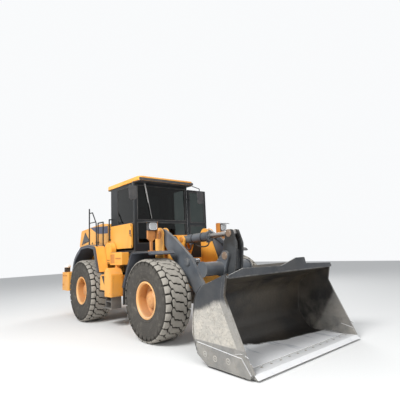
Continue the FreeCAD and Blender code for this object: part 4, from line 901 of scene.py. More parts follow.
for word, s in (("left", 1), ("right", -1)):
    post = Piece()
    post.block(s * 1008, s * 1052, -1436, -1384, 1750, 1985)
    post.block(s * 975, s * 1085, -1462, -1358, 1745, 1757)
    post.sheet(-1438, -1382, ((s * 1006, 1955), (s * 1054, 1955), (s * 1118, 2014), (s * 1118, 2178), (s * 942, 2178),
                              (s * 942, 2014)), 1)
    post.block(s * 907, s * 921, -1498, -1352, 2002, 2372)
    post.block(s * 921, s * 1118, -1398, -1388, 2140, 2362)
    for x in (970, 1090):
        post.bolt((s * x, -1438, 2150), (0, -1, 0), 9, 8)
        post.bolt((s * x, -1438, 2050), (0, -1, 0), 9, 8)
    for y in (-1450, -1370):
        post.bolt((s * 987, y, 1757), (0, 0, 1), 8, 8)
        post.bolt((s * 1073, y, 1757), (0, 0, 1), 8, 8)
    whole = post.done("lamp_post_" + word, "front_frame", "shaded yellow paint", 2.5)
    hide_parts("headlamps")
    guard = Piece()
    guard.sheet(s * 925, s * 1198, ((-1545, 2352), (-1540, 2348), (-1502, 2373), (-1352, 2381), (-1352, 2375), (-1500, 2366)), 0)
    guard.sheet(s * 932, s * 1128, ((-1402, 2190), (-1470, 2180), (-1500, 2182), (-1500, 2350), (-1470, 2352), (-1402, 2342)), 0)
    guard.done("lamp_box_" + word, "front_frame", "moulded plastic", 6.0, steps=3)
    bowl = Piece()
    lens = Piece()
    for piece, near, far in ((bowl, 1.0, 0.0), (lens, 0.96, 1.0)):
        rows = ((-1501, near), (-1508, 0.93), (-1512, 0.72), (-1514, 0.4)) if far else ((-1501, 1.0), (-1506, 1.05), (-1511, 1.05), (-1511, 0.98), (-1502, 0.96), (-1486, 0.7), (-1476, 0.36))
        rings = []
        for y, size in rows:
            rings.append([piece.bm.verts.new(spot(s * LAMP_X + 90 * size * rounded_x(k), y, LAMP_Z + 70 * size * rounded_z(k))) for k in range(40)])
        for one, two in zip(rings, rings[1:]):
            for k in range(40):
                piece.bm.faces.new((one[k], one[(k + 1) % 40], two[(k + 1) % 40], two[k]))
        piece.bm.faces.new(rings[-1])
    bowl.turned((s * LAMP_X, -1482, LAMP_Z), (0, -1, 0), ((0, 12), (14, 12), (19, 7), (19, 0)), 16)
    bowl.done("lamp_bowl_" + word, "front_frame", "lamp bowl", 0.0, 50)
    lens.done("lamp_lens_" + word, "front_frame", "clear lens", 0.0, 60)
    amber = Piece()
    amber.block(s * 876, s * 907, -1462, -1404, 2034, 2112)
    amber.sheet(s * 868, s * 878, ((-1458, 2040), (-1408, 2040), (-1408, 2106), (-1458, 2106)), 0)
    amber.done("turn_lamp_" + word, "front_frame", "amber lens", 4.0, steps=3)
print("headlamps: 2")

# %% Tail lamps
for word, s in (("left", 1), ("right", -1)):
    case = Piece()
    case.block(s * 1062, s * 1228, 3262, 3318, 1251, 1388)
    case.turned((s * 1145, 3300, 1388), (0, 0, 1), ((-10, 40), (0, 34), (14, 30)), 28)
    shell = case.done("tail_lamp_case_" + word, "rear_frame", "moulded plastic", 8.0, steps=3)
    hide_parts("tail_lamps")
    red = Piece()
    red.sheet(s * 1070, s * 1142, ((3312, 1260), (3334, 1266), (3338, 1320), (3334, 1374), (3312, 1380)), 0)
    red.done("tail_lens_" + word, "rear_frame", "red lens", 5.0, steps=3)
    turn_lamp = Piece()
    turn_lamp.sheet(s * 1148, s * 1220, ((3312, 1260), (3334, 1266), (3338, 1320), (3334, 1374), (3312, 1380)), 0)
    turn_lamp.done("tail_amber_" + word, "rear_frame", "amber lens", 5.0, steps=3)
    dome = Piece()
    dome.turned((s * 1145, 3296, 1380), (0, 0, 1), ((0, 70), (6, 92), (30, 100), (58, 95), (84, 74), (103, 40), (108, 0)), 36)
    dome.done("work_lamp_" + word, "rear_frame", "white plastic", 0.0, 60)
print("tail lamps: 2")

# %% [markdown]
# ## Front fender and rear fender trim
# Thin plate looks like plate only when its edge is finished. Real fenders have a rolled or rubber lip, bolts
# where the stays meet the skin, and a hanging flap behind the wheel.

# %% Fender trim
FRONT_LINE = ((-1926, 1698), (-1884, 1740), (-1800, 1751), (-1500, 1751), (-1215, 1751), (-1140, 1665), (-960, 1330),
              (-795, 1020))
REAR_LINE = ((705, 1310), (800, 1570), (905, 1850), (985, 1935), (1150, 1965), (1350, 1978), (1600, 1972), (1850, 1950),
             (2060, 1840), (2240, 1720), (2370, 1570), (2470, 1330), (2530, 1080), (2548, 830))
for word, s in (("left", 1), ("right", -1)):
    hoses("front_fender_lip_" + word, "front_frame", [[(s * 1386, y, z - 9) for y, z in FRONT_LINE]], 13, "seal rubber")
    hoses("rear_fender_lip_" + word, "rear_frame", [[(s * 1280, y, z - 12) for y, z in REAR_LINE]], 12, "seal rubber")
    flap = Piece()
    flap.sheet(s * 830, s * 1370, ((-806, 1030), (-796, 1034), (-772, 820), (-770, 640), (-780, 640), (-784, 818)), 0)
    for x in (900, 1010, 1120, 1230, 1330):
        flap.bolt((s * x, -812, 1045), (0, -0.88, -0.47), 9, 7)
    flap.done("mud_flap_" + word, "front_frame", "seal rubber", 2.0)
    screws = Piece()
    for y in (-1475, -1325):
        for x in (825, 860):
            screws.bolt((s * x, y, 1745), (0, 0, 1), 10, 8)
    screws.done("front_fender_bolts_" + word, "front_frame", "fender paint", 1.0)
    screws = Piece()
    for y, z in ((1350, 1996), (1600, 1981), (1850, 1958)):
        screws.bolt((s * 800, y, z - 4), (0, 0, 1), 10, 9)
    for z in (1500, 1350, 1200):
        screws.bolt((s * 1180, 2525 + (1180 - z) * 0.28, z), (0, 1, 0.3), 9, 8)
    screws.done("rear_fender_bolts_" + word, "rear_frame", "fender paint", 1.0)
print("fender trim: 2 sides")


# %% [markdown]
# ## Hood furniture
# The hood is one big cover, so its seams, vents and stripe are what give it scale. The triangular side vent is a
# dark plate with slats laid over the opening, the stripe is a thin painted plate, and the top has an air intake.

# %% Hood stripe, vents and intake


def triangle_row(z, low, high, point):
    # where a level line at height z crosses the triangle, as two places along the machine
    low_y, low_z = low
    high_y, high_z = high
    top_y, top_z = point
    base = lambda y: low_z + (high_z - low_z) * (y - low_y) / (high_y - low_y)
    ends = []
    for y0, z0 in (low, high):
        share = (z - z0) / (top_z - z0)
        if 0 <= share <= 1:
            ends.append(y0 + (top_y - y0) * share)
    if len(ends) == 1:
        ends.append(low_y + (high_y - low_y) * (z - low_z) / (high_z - low_z))
    return min(ends), max(ends)


VENT = ((2462, 2146), (3082, 2052), (2802, 2432))
for word, s in (("left", 1), ("right", -1)):
    band = Piece()
    band.sheet(s * 775, s * 778.5, ((1206, 2303), (1520, 2309), (1878, 2328), (2150, 2432), (2409, 2547), (1900, 2531), (1206, 2500)), 0)
    band.done("hood_stripe_" + word, "hood", "band paint", 1.0)
    rim = Piece()
    rim.sheet(s * 775, s * 784, VENT, 0)
    rim.done("vent_plate_" + word, "hood", "moulded plastic", 3.0)
    slats = Piece()
    for k in range(9):
        z = 2108 + k * 36
        y0, y1 = triangle_row(z, (2500, 2160), (3040, 2078), (2796, 2400)) if z < 2392 else (0, 0)
        if y1 - y0 > 40:
            slats.sheet(y0, y1, ((s * 784, z - 9), (s * 796, z - 13), (s * 798, z - 9), (s * 784, z + 7)), 1)
    slats.done("vent_slats_" + word, "hood", "grey plastic", 1.5)
intake = Piece()


def hood_top(y):
    return 2600.0 - (y - 1600.0) * 0.07237


intake.sheet(-340, 340, ((2140, hood_top(2140) - 2), (2960, hood_top(2960) - 2), (2960, hood_top(2960) + 9), (2140, hood_top(2140) + 9)), 0)
for k in range(17):
    y = 2180 + k * 45
    intake.sheet(-300, 300, ((y, hood_top(y) + 8), (y + 26, hood_top(y) + 8), (y + 30, hood_top(y) + 22), (y + 20, hood_top(y) + 24)), 0)
intake.done("hood_intake", "hood", "moulded plastic", 2.0)
hood_bits = Piece()
for s in (-1, 1):
    hood_bits.bar((s * 802, 1760, 2085), (s * 802, 1960, 2085), 11)
    for y in (1766, 1954):
        hood_bits.bar((s * 774, y, 2085), (s * 806, y, 2085), 10)
    hood_bits.turned((s * 775, 2260, 2070), (s, 0, 0), ((0, 30), (5, 29), (7, 20), (10, 18), (12, 0)), 24)
hood_bits.bar((-120, 3240, 2130), (120, 3240, 2130), 12)
for x in (-112, 112):
    hood_bits.bar((x, 3190, 2118), (x, 3242, 2130), 10)
hood_bits.done("hood_handles", "hood", "black paint", 1.5)
seams = Piece()
for s in (-1, 1):
    seams.block(s * 773, s * 776.5, 1201, 3110, 2040, 2044)
seams.sheet(-774, 774, ((2990, hood_top(2990) - 1), (2995, hood_top(2995) - 1), (2995, hood_top(2995) + 2), (2990, hood_top(2990) + 2)), 0)
seams.done("hood_seams", "hood", "seal rubber", 0.5)
print("hood pieces: 9")

# %% [markdown]
# ## Tail
# Seen from behind, the cooler sits behind a hinged grille. The solid grille has the slots; a wire screen behind
# them keeps leaves out. Bars crossing bars make it, which is lighter than a woven mesh and reads the same.

# %% Rear screen, louvres and counterweight bits


def screen_wires(made, x0, x1, y, z0, z1, pitch=32, wire=4):
    for k in range(int((x1 - x0) / pitch) + 1):
        x = x0 + k * pitch
        made.block(x, x + wire, y, y + wire, z0, z1)
    for k in range(int((z1 - z0) / pitch) + 1):
        z = z0 + k * pitch
        made.block(x0, x1, y - wire, y, z, z + wire)


wires = Piece()
for x0, x1 in ((-638, -22), (22, 638)):
    screen_wires(wires, x0, x1, 3244, 1325, 1892)
wires.done("grille_screen", "rear_grille", "black paint", 0.0)
catch = Piece()
for z in (1340, 1880):
    catch.block(-752, -706, 3270, 3286, z - 26, z + 26)
    catch.bar((-742, 3292, z - 14), (-716, 3292, z - 14), 6)
catch.bar((-690, 3298, 1520), (-690, 3298, 1700), 10)
for z in (1526, 1694):
    catch.bar((-690, 3268, z), (-690, 3300, z), 9)
catch.done("grille_catches", "rear_grille", "pin steel", 2.0)
for word, s in (("left", 1), ("right", -1)):
    hoods = Piece()
    for k in range(6):
        z = 1438 + k * 80
        hoods.sheet(2552, 2968, ((s * 774, z + 12), (s * 774, z + 2), (s * 790, z - 22), (s * 794, z - 20)), 1)
    hoods.block(s * 774, s * 780, 3010, 3180, 1290, 1960)
    for z in (1330, 1920):
        hoods.bolt((s * 780, 3030, z), (s, 0, 0), 9, 7)
        hoods.bolt((s * 780, 3160, z), (s, 0, 0), 9, 7)
    hoods.done("side_louvres_" + word, "rear_frame", "yellow paint", 2.0)
weight = Piece()
for s in (-1, 1):
    for y in (2960, 3090, 3220):
        weight.bolt((s * 1280, y, 1150), (s, 0, 0), 16, 14)
    weight.turned((s * 900, 3380, 1250), (0, 0, 1), ((0, 46), (8, 46), (12, 34), (44, 30), (52, 20), (54, 0)), 24)
    weight.sheet(s * 880, s * 920, ((3352, 1290), (3408, 1290), (3420, 1330), (3400, 1358), (3360, 1358), (3340, 1330)), 0)
weight.done("weight_bolts", "rear_frame", "shaded yellow paint", 2.5)
marks = Piece()
for s in (-1, 1):
    marks.turned((s * 560, 3593, 1130), (0, 1, 0), ((0, 44), (5, 44), (7, 38), (9, 0)), 32)
marks.done("rear_reflectors", "rear_frame", "red lens", 1.0)
lid = Piece()
lid.turned((300, 1085, 2990), (0, 0.35, 1), ((-40, 57), (0, 57), (2, 60), (30, 62), (34, 60), (34, 50), (-30, 50)), 32)
lid.turned((300, 1085, 2300), (0, 0, 1), ((-6, 94), (0, 97), (8, 97), (12, 91)), 32)
lid.turned((300, 1085, 2744), (0, 0, 1), ((-6, 91), (0, 97), (8, 97), (12, 94)), 32)
for k in range(10):
    a = 2 * math.pi * k / 10
    lid.bar((300 + 92 * math.cos(a), 1085 + 92 * math.sin(a), 2340), (300 + 92 * math.cos(a), 1085 + 92 * math.sin(a), 2710), 5, sides=8)
lid.done("stack_trim", "rear_frame", "pin steel", 1.0)
print("tail pieces: 7")

# %% [markdown]
# ## Boxes, steps and decks beside the cab
# The driver's way up is what hands and boots touch, so it carries the most small hardware: cover plates with
# bolts, serrated step edges, chequer plate on the decks, and feet where the handrails are bolted down.

# %% Side boxes, fender covers, decks and rails
for word, s in (("left", 1), ("right", -1)):
    plates = Piece()
    plates.sheet(s * 1240, s * 1246, ((92, 752), (92, 1222), (182, 1346), (318, 1346), (388, 1268), (388, 752)), 0)
    plates.sheet(42, 50, ((s * 962, 748), (s * 1222, 748), (s * 1222, 1222), (s * 962, 1222)), 1)
    plates.block(s * 1225, s * 1230, 445, 680, 885, 1212)
    for y, z in ((128, 800), (352, 800), (128, 1185), (352, 1185), (248, 1315)):
        plates.bolt((s * 1246, y, z), (s, 0, 0), 11, 10)
    for x, z in ((988, 790), (1196, 790), (988, 1180), (1196, 1180)):
        plates.bolt((s * x, 42, z), (0, -1, 0), 11, 10)
    plates.done("box_covers_" + word, "rear_frame", "yellow paint", 3.0)
    dark = Piece()
    dark.sheet(s * 1230, s * 1232.5, ((452, 1205), (612, 1205), (452, 985)), 0)
    for z0, z1 in ((1562, 1576), (1520, 1534)):
        dark.block(s * 1000, s * 1003, 545, 915, z0, z1)
    dark.block(s * 1002, s * 1004, 560, 900, 1590, 1593)
    dark.done("box_gaps_" + word, "rear_frame", "seal rubber", 0.5)
    skin_plate = Piece()
    skin_plate.sheet(s * 1006, s * 1250, ((698, 1301), (904, 1869), (916, 1897), (941, 1921), (966, 1938), (1000, 1948), (1050, 1957),
                                          (1049, 1963), (999, 1954), (963, 1944), (937, 1927), (910, 1901), (897, 1871), (691, 1303)), 0)
    skin_plate.sheet(s * 1006, s * 1250, ((691, 1303), (640, 1302), (640, 1297), (698, 1297)), 0)
    for x in (1040, 1130, 1215):
        skin_plate.bolt((s * x, 760, 1485), (0, -0.94, 0.34), 9, 8)
    skin_plate.done("fender_cover_" + word, "rear_frame", "yellow paint", 1.5)
    grip = Piece()
    for z, y_end in ((470, 650), (625, 390)):
        for y in range(112, y_end, 42):
            grip.block(s * 968, s * 1212, y, y + 7, z, z + 8)
    for z in (520, 690):
        for y in (102, 388):
            grip.bolt((s * 1220, y, z), (s, 0, 0), 8, 7)
    grip.done("step_grips_" + word, "rear_frame", "step paint", 1.0)
    deck = Piece()
    deck.block(s * 872, s * 1046, -122, 512, 1764, 1769)
    for i in range(4):
        for j in range(15):
            x, y = 894 + i * 43, -100 + j * 41
            lean = 9 if (i + j) % 2 else -9
            deck.sheet(1768, 1771.5, ((s * (x - 2 - lean), y - 9), (s * (x + 3 - lean), y - 12), (s * (x + 2 + lean), y + 9), (s * (x - 3 + lean), y + 12)), 2)
    deck.done("deck_plate_" + word, "rear_frame", "step paint", 0.0)
    feet = Piece()
    for x, y, z in ((1190, 1480, 1986), (1190, 1000, 1942), (940, 1150, 1965), (940, 1480, 1986)):
        feet.turned((s * x, y, z - 6), (0, 0, 1), ((0, 42), (12, 42), (15, 38), (16, 24), (34, 20), (36, 17)), 24)
        for dx, dy in ((28, 0), (-28, 0), (0, 28), (0, -28)):
            feet.bolt((s * (x + dx), y + dy, z + 6), (0, 0, 1), 6, 6)
    feet.done("rail_feet_" + word, "rear_frame", "black paint", 1.0)
hood_latch = Piece()
for s in (-1, 1):
    hood_latch.bar((s * 1062, -60, 1620), (s * 1062, 180, 1620), 11)
    for y in (-52, 172):
        hood_latch.bar((s * 1048, y, 1620), (s * 1064, y, 1620), 10)
    hood_latch.block(s * 1050, s * 1054, 260, 480, 1500, 1720)
    hood_latch.bolt((s * 1054, 290, 1690), (s, 0, 0), 8, 7)
    hood_latch.bolt((s * 1054, 450, 1690), (s, 0, 0), 8, 7)
hood_latch.done("deck_grabs", "rear_frame", "shaded yellow paint", 1.5)
print("boxes and decks: 13")

# %% [markdown]
# ## Pins, glands and hoses
# Every hinge of the linkage ends in a pin head with a keeper plate and bolts, and every cylinder ends in a gland
# where the polished rod comes out. These caps are turned shapes, and each rides on the part that holds the pin.

# %% Pin heads


def pin_head(name, body, places, radius, finish="slate paint", bolts=2):
    made = Piece()
    for x, y, z in places:
        s = 1 if x > 0 else -1
        made.turned((x, y, z), (s, 0, 0), ((-2, radius), (7, radius), (10, radius - 4), (10, radius * 0.62), (14, radius * 0.58), (14, 0)), 36)
        for k in range(bolts):
            a = 0.7 + 2 * math.pi * k / bolts
            made.bolt((x + s * 9, y + radius * 0.8 * math.cos(a), z + radius * 0.8 * math.sin(a)), (s, 0, 0), radius * 0.11, radius * 0.12)
    return made.done(name, body, finish, 1.5)


def both(x, y, z):
    return ((x, y, z), (-x, y, z))


pin_head("tower_pin_heads", "front_frame", both(745, -1290, 2100), 88, "shaded yellow paint", 3)
pin_head("tilt_base_heads", "front_frame", both(145, -1300, 1985), 66, "shaded yellow paint")
pin_head("lift_eye_heads", "boom", both(710, -2200, 1500), 68, "slate paint", 3)
pin_head("crank_pin_heads", "boom", both(165, -2718, 1595), 78, "rusty steel", 3)
pin_head("crank_top_heads", "bellcrank", both(105, -2803, 2036), 76, "rusty steel")
pin_head("crank_low_heads", "bellcrank", both(105, -2540, 725), 62)
pin_head("link_pin_heads", "bucket", both(105, -3150, 700), 60)
pin_head("bucket_pin_heads", "bucket", both(725, -3120, 420), 62, "slate paint", 3)
print("pin heads: 16")

# %% Glands, ports and hoses
TILT_A, TILT_B = (-1300.0, 1985.0), (-2803.0, 2036.0)
LIFT_A, LIFT_B = (-1150.0, 850.0), (-2200.0, 1500.0)


def along(a, b, distance):
    reach = math.hypot(b[0] - a[0], b[1] - a[1])
    return a[0] + (b[0] - a[0]) * distance / reach, a[1] + (b[1] - a[1]) * distance / reach


def run(a, b):
    reach = math.hypot(b[0] - a[0], b[1] - a[1])
    return (0, (b[0] - a[0]) / reach, (b[1] - a[1]) / reach)


def gland(made, x, a, b, at, radius, rod_radius):
    made.turned((x, *along(a, b, at)), run(a, b), ((-18, radius), (0, radius), (4, radius - 5), (4, rod_radius + 16), (16, rod_radius + 12),
                                                 (18, rod_radius + 1.5), (-10, rod_radius + 1.5)), 40)
    y, z = along(a, b, at + 4)
    lean = run(a, b)
    for k in range(8):
        t = 2 * math.pi * k / 8
        r = (radius + rod_radius + 16) / 2.0
        made.bolt((x + r * math.cos(t), y - lean[2] * r * math.sin(t), z + lean[1] * r * math.sin(t)), lean, 8, 8)


gland_piece = Piece()
gland(gland_piece, 0, TILT_A, TILT_B, 840, 112, 50)
y, z = along(TILT_A, TILT_B, 180)
gland_piece.block(-34, 34, y - 34, y + 34, z - 128, z - 88)
y, z = along(TILT_A, TILT_B, 770)
gland_piece.block(-34, 34, y - 30, y + 30, z - 132, z - 92)
gland_piece.turned((0, *along(TILT_A, TILT_B, 150)), run(TILT_A, TILT_B), ((-12, 98), (-8, 104), (4, 104), (10, 99)), 40)
gland_piece.done("tilt_gland", "tilt_barrel", "slate paint", 1.5)
y0, z0 = along(TILT_A, TILT_B, 180)
y1, z1 = along(TILT_A, TILT_B, 770)
hoses("tilt_hoses", "tilt_barrel", [
    [(18, y1, z1 - 128), (18, y1 + 10, z1 - 175), (34, y1 + 130, z1 - 215), (46, y0 - 250, z0 - 190), (60, y0 - 80, z0 - 140), (64, y0 + 40, z0 - 90)],
    [(-18, y0, z0 - 124), (-20, y0 - 20, z0 - 200), (-30, y0 + 60, z0 - 260), (-44, y0 + 130, z0 - 190), (-50, y0 + 140, z0 - 90)],
], 15)
ports = Piece()
for x, a, b, at in ((0, TILT_A, TILT_B, 300), (0, TILT_A, TILT_B, 620)):
    y, z = along(a, b, at)
    ports.turned((x, y, z), run(a, b), ((-14, 103), (-12, 106), (12, 106), (14, 103)), 40)
ports.done("tilt_straps", "tilt_barrel", "black paint", 1.0)
for word, s in (("left", 1), ("right", -1)):
    made = Piece()
    gland(made, s * 470, LIFT_A, LIFT_B, 1020, 84, 45)
    y, z = along(LIFT_A, LIFT_B, 930)
    made.block(s * 470 - 26, s * 470 + 26, y - 26, y + 26, z + 66, z + 104)
    y, z = along(LIFT_A, LIFT_B, 150)
    made.block(s * 470 - 26, s * 470 + 26, y - 26, y + 26, z + 66, z + 104)
    made.done("lift_gland_" + word, "lift_barrel_" + word, "slate paint", 1.5)
    pipe_a, pipe_b = along(LIFT_A, LIFT_B, 930), along(LIFT_A, LIFT_B, 170)
    hoses("lift_pipe_" + word, "lift_barrel_" + word, [
        [(s * 470, pipe_a[0], pipe_a[1] + 100), (s * 470, pipe_a[0] + 20, pipe_a[1] + 122), (s * 462, pipe_a[0] + 90, pipe_a[1] + 60),
         (s * 462, pipe_b[0] - 60, pipe_b[1] + 122), (s * 452, pipe_b[0] + 20, pipe_b[1] + 120), (s * 448, pipe_b[0] + 60, pipe_b[1] + 60)]], 11, "black paint")
    hoses("arm_pipes_" + word, "boom", [
        [(s * 622, -1480, 2050), (s * 622, -1640, 1985), (s * 622, -1850, 1850), (s * 622, -2120, 1640), (s * 612, -2290, 1490), (s * 600, -2420, 1440)],
        [(s * 622, -1495, 2025), (s * 622, -1650, 1962), (s * 622, -1850, 1826), (s * 622, -2110, 1620), (s * 612, -2280, 1470), (s * 596, -2400, 1415)]],
        7, "black paint")
    clips = Piece()
    for y, z in ((-1640, 1976), (-1850, 1840), (-2120, 1632)):
        clips.block(s * 612, s * 632, y - 16, y + 16, z - 28, z + 28)
    clips.done("arm_clips_" + word, "boom", "black paint", 2.0)
print("glands and hoses done")

# %% [markdown]
# ## Front frame
# The towers are welded from thick plate, so each corner shows a weld bead and the covers are bolted. Hoses from
# the valve block hang in loops between the towers and follow the centre hinge to the rear frame.

# %% Valve block, bolts and tower hoses
valve = Piece()
valve.block(-230, 230, -1118, -960, 1420, 1560)
valve.block(-200, 200, -1110, -990, 1560, 1640)
for k in range(5):
    x = -160 + k * 80
    valve.turned((x, -960, 1490), (0, 1, 0), ((0, 26), (30, 26), (34, 20), (60, 18), (62, 0)), 20)
    valve.turned((x, -1050, 1640), (0, 0, 1), ((0, 22), (14, 22), (18, 14), (40, 14), (42, 0)), 18)
valve.block(-230, 230, -1120, -960, 1350, 1422)
valve.done("valve_block", "front_frame", "cast iron", 3.0)
tower_lines = []
for k in range(5):
    x = -160 + k * 80
    tower_lines.append([(x, -1050, 1676), (x, -1052, 1740), (x * 1.05, -1000, 1790), (x * 1.1, -860, 1750), (x * 1.1, -800, 1600), (x * 1.0, -760, 1450), (x * 0.9, -700, 1352)])
hoses("valve_hoses", "front_frame", tower_lines, 15)
bits = Piece()
for s in (-1, 1):
    for y, z in ((-1175, 2050), (-1175, 1620), (-1395, 1560)):
        bits.bolt((s * 745, y, z), (s, 0, 0), 13, 12)
    for y in (-1980, -1840, -1700):
        bits.bolt((s * 600, y, 1090 + (y + 1980) * 0.35), (s, 0, 0), 12, 11)
    for x in (180, 300):
        for z in (1060, 1180):
            bits.bolt((s * x, -2050, z), (0, -1, 0), 12, 11)
bits.sheet(-150, 150, ((-2052, 1010), (-2060, 1010), (-2060, 1160), (-2052, 1160)), 0)
bits.done("front_bolts", "front_frame", "yellow paint", 1.5)
# A black plate on the wall between each tilt bracket and tower is painted shade, so that region reads dark.
shade_plate = Piece()
for s in (-1, 1):
    shade_plate.sheet(-1155, -1149, ((s * 152, 1640), (s * 152, 2040), (s * 200, 2080), (s * 540, 2080), (s * 560, 2040), (s * 560, 1560), (s * 260, 1560)), 1)
    for x, z in ((190, 2040), (530, 2040), (530, 1600), (280, 1600)):
        shade_plate.bolt((s * x, -1155, z), (0, -1, 0), 10, 9)
shade_plate.done("tower_shade_plate", "front_frame", "black paint", 2.0)
beads = []
for s in (-1, 1):
    beads.append([(s * 602, -1158, 1500), (s * 602, -1158, 1800), (s * 602, -1157, 2130)])
    beads.append([(s * 571, -1152, 1360), (s * 571, -1152, 1700), (s * 571, -1152, 2090)])
    beads.append([(s * 112, -1152, 1610), (s * 112, -1152, 1850), (s * 112, -1152, 2060)])
hoses("tower_welds", "front_frame", beads, 6, "yellow paint")
print("front frame pieces: 4")

# %% [markdown]
# ### Hoses over the centre hinge
# The machine bends in the middle, so these hoses run from one frame to the other. A real hose follows one body at
# one end and the other at its far end and turns smoothly in between; here they are one fixed mesh laid over the hinge.

# %% Centre hinge hoses
curve = bpy.data.curves.new("hinge_hoses", "CURVE")
curve.dimensions = "3D"
curve.bevel_depth = 0.016
curve.bevel_resolution = 2
curve.resolution_u = 10
for x, z in ((-90, 1180), (-40, 1195), (10, 1180), (60, 1195), (105, 1180)):
    spline = curve.splines.new("NURBS")
    line = ((x, -225, z), (x, -170, z), (x * 1.1, -60, z - 34), (x * 1.15, 40, z - 44), (x * 1.1, 150, z - 30), (x, 235, z), (x, 262, z))
    spline.points.add(len(line) - 1)
    for point, place in zip(spline.points, line):
        point.co = (*spot(*place), 1.0)
    spline.order_u = 3
    spline.use_endpoint_u = True
holder = bpy.data.objects.new("hinge_hose_curve", curve)
scene.collection.objects.link(holder)
bpy.context.view_layer.update()
tubes = bpy.data.meshes.new_from_object(holder.evaluated_get(bpy.context.evaluated_depsgraph_get()))
bpy.data.objects.remove(holder)
tubes.name = "hinge_hoses"
tubes.materials.clear()
tubes.materials.append(finishes["hose rubber"])
for polygon in tubes.polygons:
    polygon.use_smooth = True
hinge_hoses = bpy.data.objects.new("hinge_hoses", tubes)
scene.collection.objects.link(hinge_hoses)
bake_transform(hinge_hoses)
print("hinge hoses:", len(tubes.polygons), "faces")

# %% [markdown]
# ## Bucket hardware
# A bucket is a wearing part made of replaceable plates: strips down the front of its sides, a shoe with rings of
# plug weld low on each side, beads along every seam, and bolts along the lip. Thin plates laid on the solid give
# these lines at their true thickness.

# %% Bucket strips, shoes, welds and edge bolts
for word, s in (("left", 1), ("right", -1)):
    strip = Piece()
    strip.sheet(s * 1429, s * 1437, ((-4034, 1360), (-3968, 1052), (-4434, 82), (-4285, 300), (-4010, 830), (-3895, 1040), (-3962, 1318)), 0)
    strip.done("edge_strip_" + word, "bucket", "bucket steel", 2.0)
    shoe = Piece()
    for y, z in ((-3518, 186), (-3737, 160), (-4007, 176)):
        shoe.turned((s * 1449, y, z), (s, 0, 0), ((-2, 47), (1.5, 44), (3, 38), (1.5, 31), (-2, 28)), 28)
        shoe.turned((s * 1449, y, z), (s, 0, 0), ((-2, 16), (2, 13), (3, 0)), 20)
    shoe.done("shoe_rings_" + word, "bucket", "worn bright steel", 0.8)
    x = s * 1431
    hoses("bucket_welds_" + word, "bucket", [
        [(x, -4380, 278), (x, -4284, 330), (x, -4090, 262), (x, -3880, 226), (x, -3677, 224), (x, -3440, 262), (x, -3241, 322)],
        [(x, -4270, 332), (x, -4150, 580), (x, -4010, 860), (x, -3905, 1048), (x, -3965, 1290)],
        [(x, -3470, 1172), (x, -3395, 1120), (x, -3330, 1040), (x, -3290, 950), (x, -3262, 820), (x, -3234, 600), (x, -3230, 430), (x, -3262, 300),
         (x, -3310, 190)]], 6, "bucket steel")
    corner = Piece()
    corner.sheet(s * 1376, s * 1400, ((-4440, 78), (-4200, 62), (-3960, 100), (-4170, 250), (-4380, 200)), 0)
    corner.done("corner_gusset_" + word, "bucket", "lip steel", 3.0)
inner_welds = []
for s in (-1, 1):
    x = s * 1397
    inner_welds.append([(x, -4180, 66), (x, -3900, 66), (x, -3560, 68), (x, -3400, 110), (x, -3290, 220), (x, -3232, 380), (x, -3236, 500),
                        (x, -3270, 760), (x, -3310, 940), (x, -3400, 1070), (x, -3540, 1150), (x, -3800, 1232), (x, -4030, 1302)])
inner_welds.append([(-1398, -4204, 66), (-500, -4204, 65), (500, -4204, 65), (1398, -4204, 66)])
hoses("bowl_welds", "bucket", inner_welds, 7, "bucket steel")
lip = Piece()
for k in range(13):
    x = -1290 + k * 215
    lip.turned((x, -4290, 71), (0, -0.1, 1), ((-4, 22), (2.5, 21), (3.5, 12), (1, 10), (0.5, 0)), 20)
lip.block(-1392, 1392, -4206, -4196, 60, 68)
lip.done("lip_bolts", "bucket", "worn bright steel", 0.8)
ribs = Piece()
for x in (-1290, -960, -400, 380, 940, 1270):
    ribs.sheet(x, x + 22, ((-3226, 340), (-3172, 420), (-3205, 700), (-3250, 940), (-3300, 1010), (-3300, 940), (-3262, 700), (-3226, 430)), 0)
ribs.sheet(-1400, 1400, ((-3500, 1179), (-3478, 1187), (-3452, 1166), (-3470, 1158)), 0)
for x in (-1100, -370, 370, 1100):
    ribs.block(x - 60, x + 60, -4150, -3500, 13, 32)
ribs.done("bucket_ribs", "bucket", "bucket steel", 2.0)
guard = Piece()
guard.sheet(-1404, 1404, ((-4066, 1308), (-4030, 1322), (-4026, 1310), (-4062, 1296)), 0)
guard.done("guard_seam", "bucket", "bucket steel", 1.5)
print("bucket pieces: 13")
# %% [markdown]
# ## Cab trim
# Glass in a cab is held by rubber, so each pane gets a seal on the outer face of its frame. A long wiper crosses
# the windscreen, the roof has a dark lining under its eaves and across its front that is painted shade, and the
# doors have latches and grab bars.

# %% Window seals


def pane_seal(piece, axis, at, u0, u1, v0, v1, wide=20, thick=8):
    for a0, a1, b0, b1 in ((u0, u1, v0, v0 + wide), (u0, u1, v1 - wide, v1), (u0, u0 + wide, v0 + wide, v1 - wide),
                           (u1 - wide, u1, v0 + wide, v1 - wide)):
        if axis == 1:
            piece.block(a0, a1, at, at + thick, b0, b1)
        else:
            piece.block(at, at + thick, a0, a1, b0, b1)


seal = Piece()
pane_seal(seal, 1, -353, -740, 740, 2518, 3392)
pane_seal(seal, 1, -353, -740, 740, 1948, 2472)
pane_seal(seal, 0, -806, -282, 562, 2448, 3392)
pane_seal(seal, 0, 798, 319, 562, 2448, 3392)
pane_seal(seal, 1, 913, -740, 740, 2448, 3392)
seal.done("window_seals", "rear_frame", "seal rubber", 3.0)
seal = Piece()
pane_seal(seal, 1, -383, 864, 1385, 2480, 3320)
pane_seal(seal, 1, -383, 864, 1385, 1960, 2400)
seal.block(1440, 1450, -378, -350, 1815, 3375)
seal.done("door_seals", "cab_door", "seal rubber", 3.0)

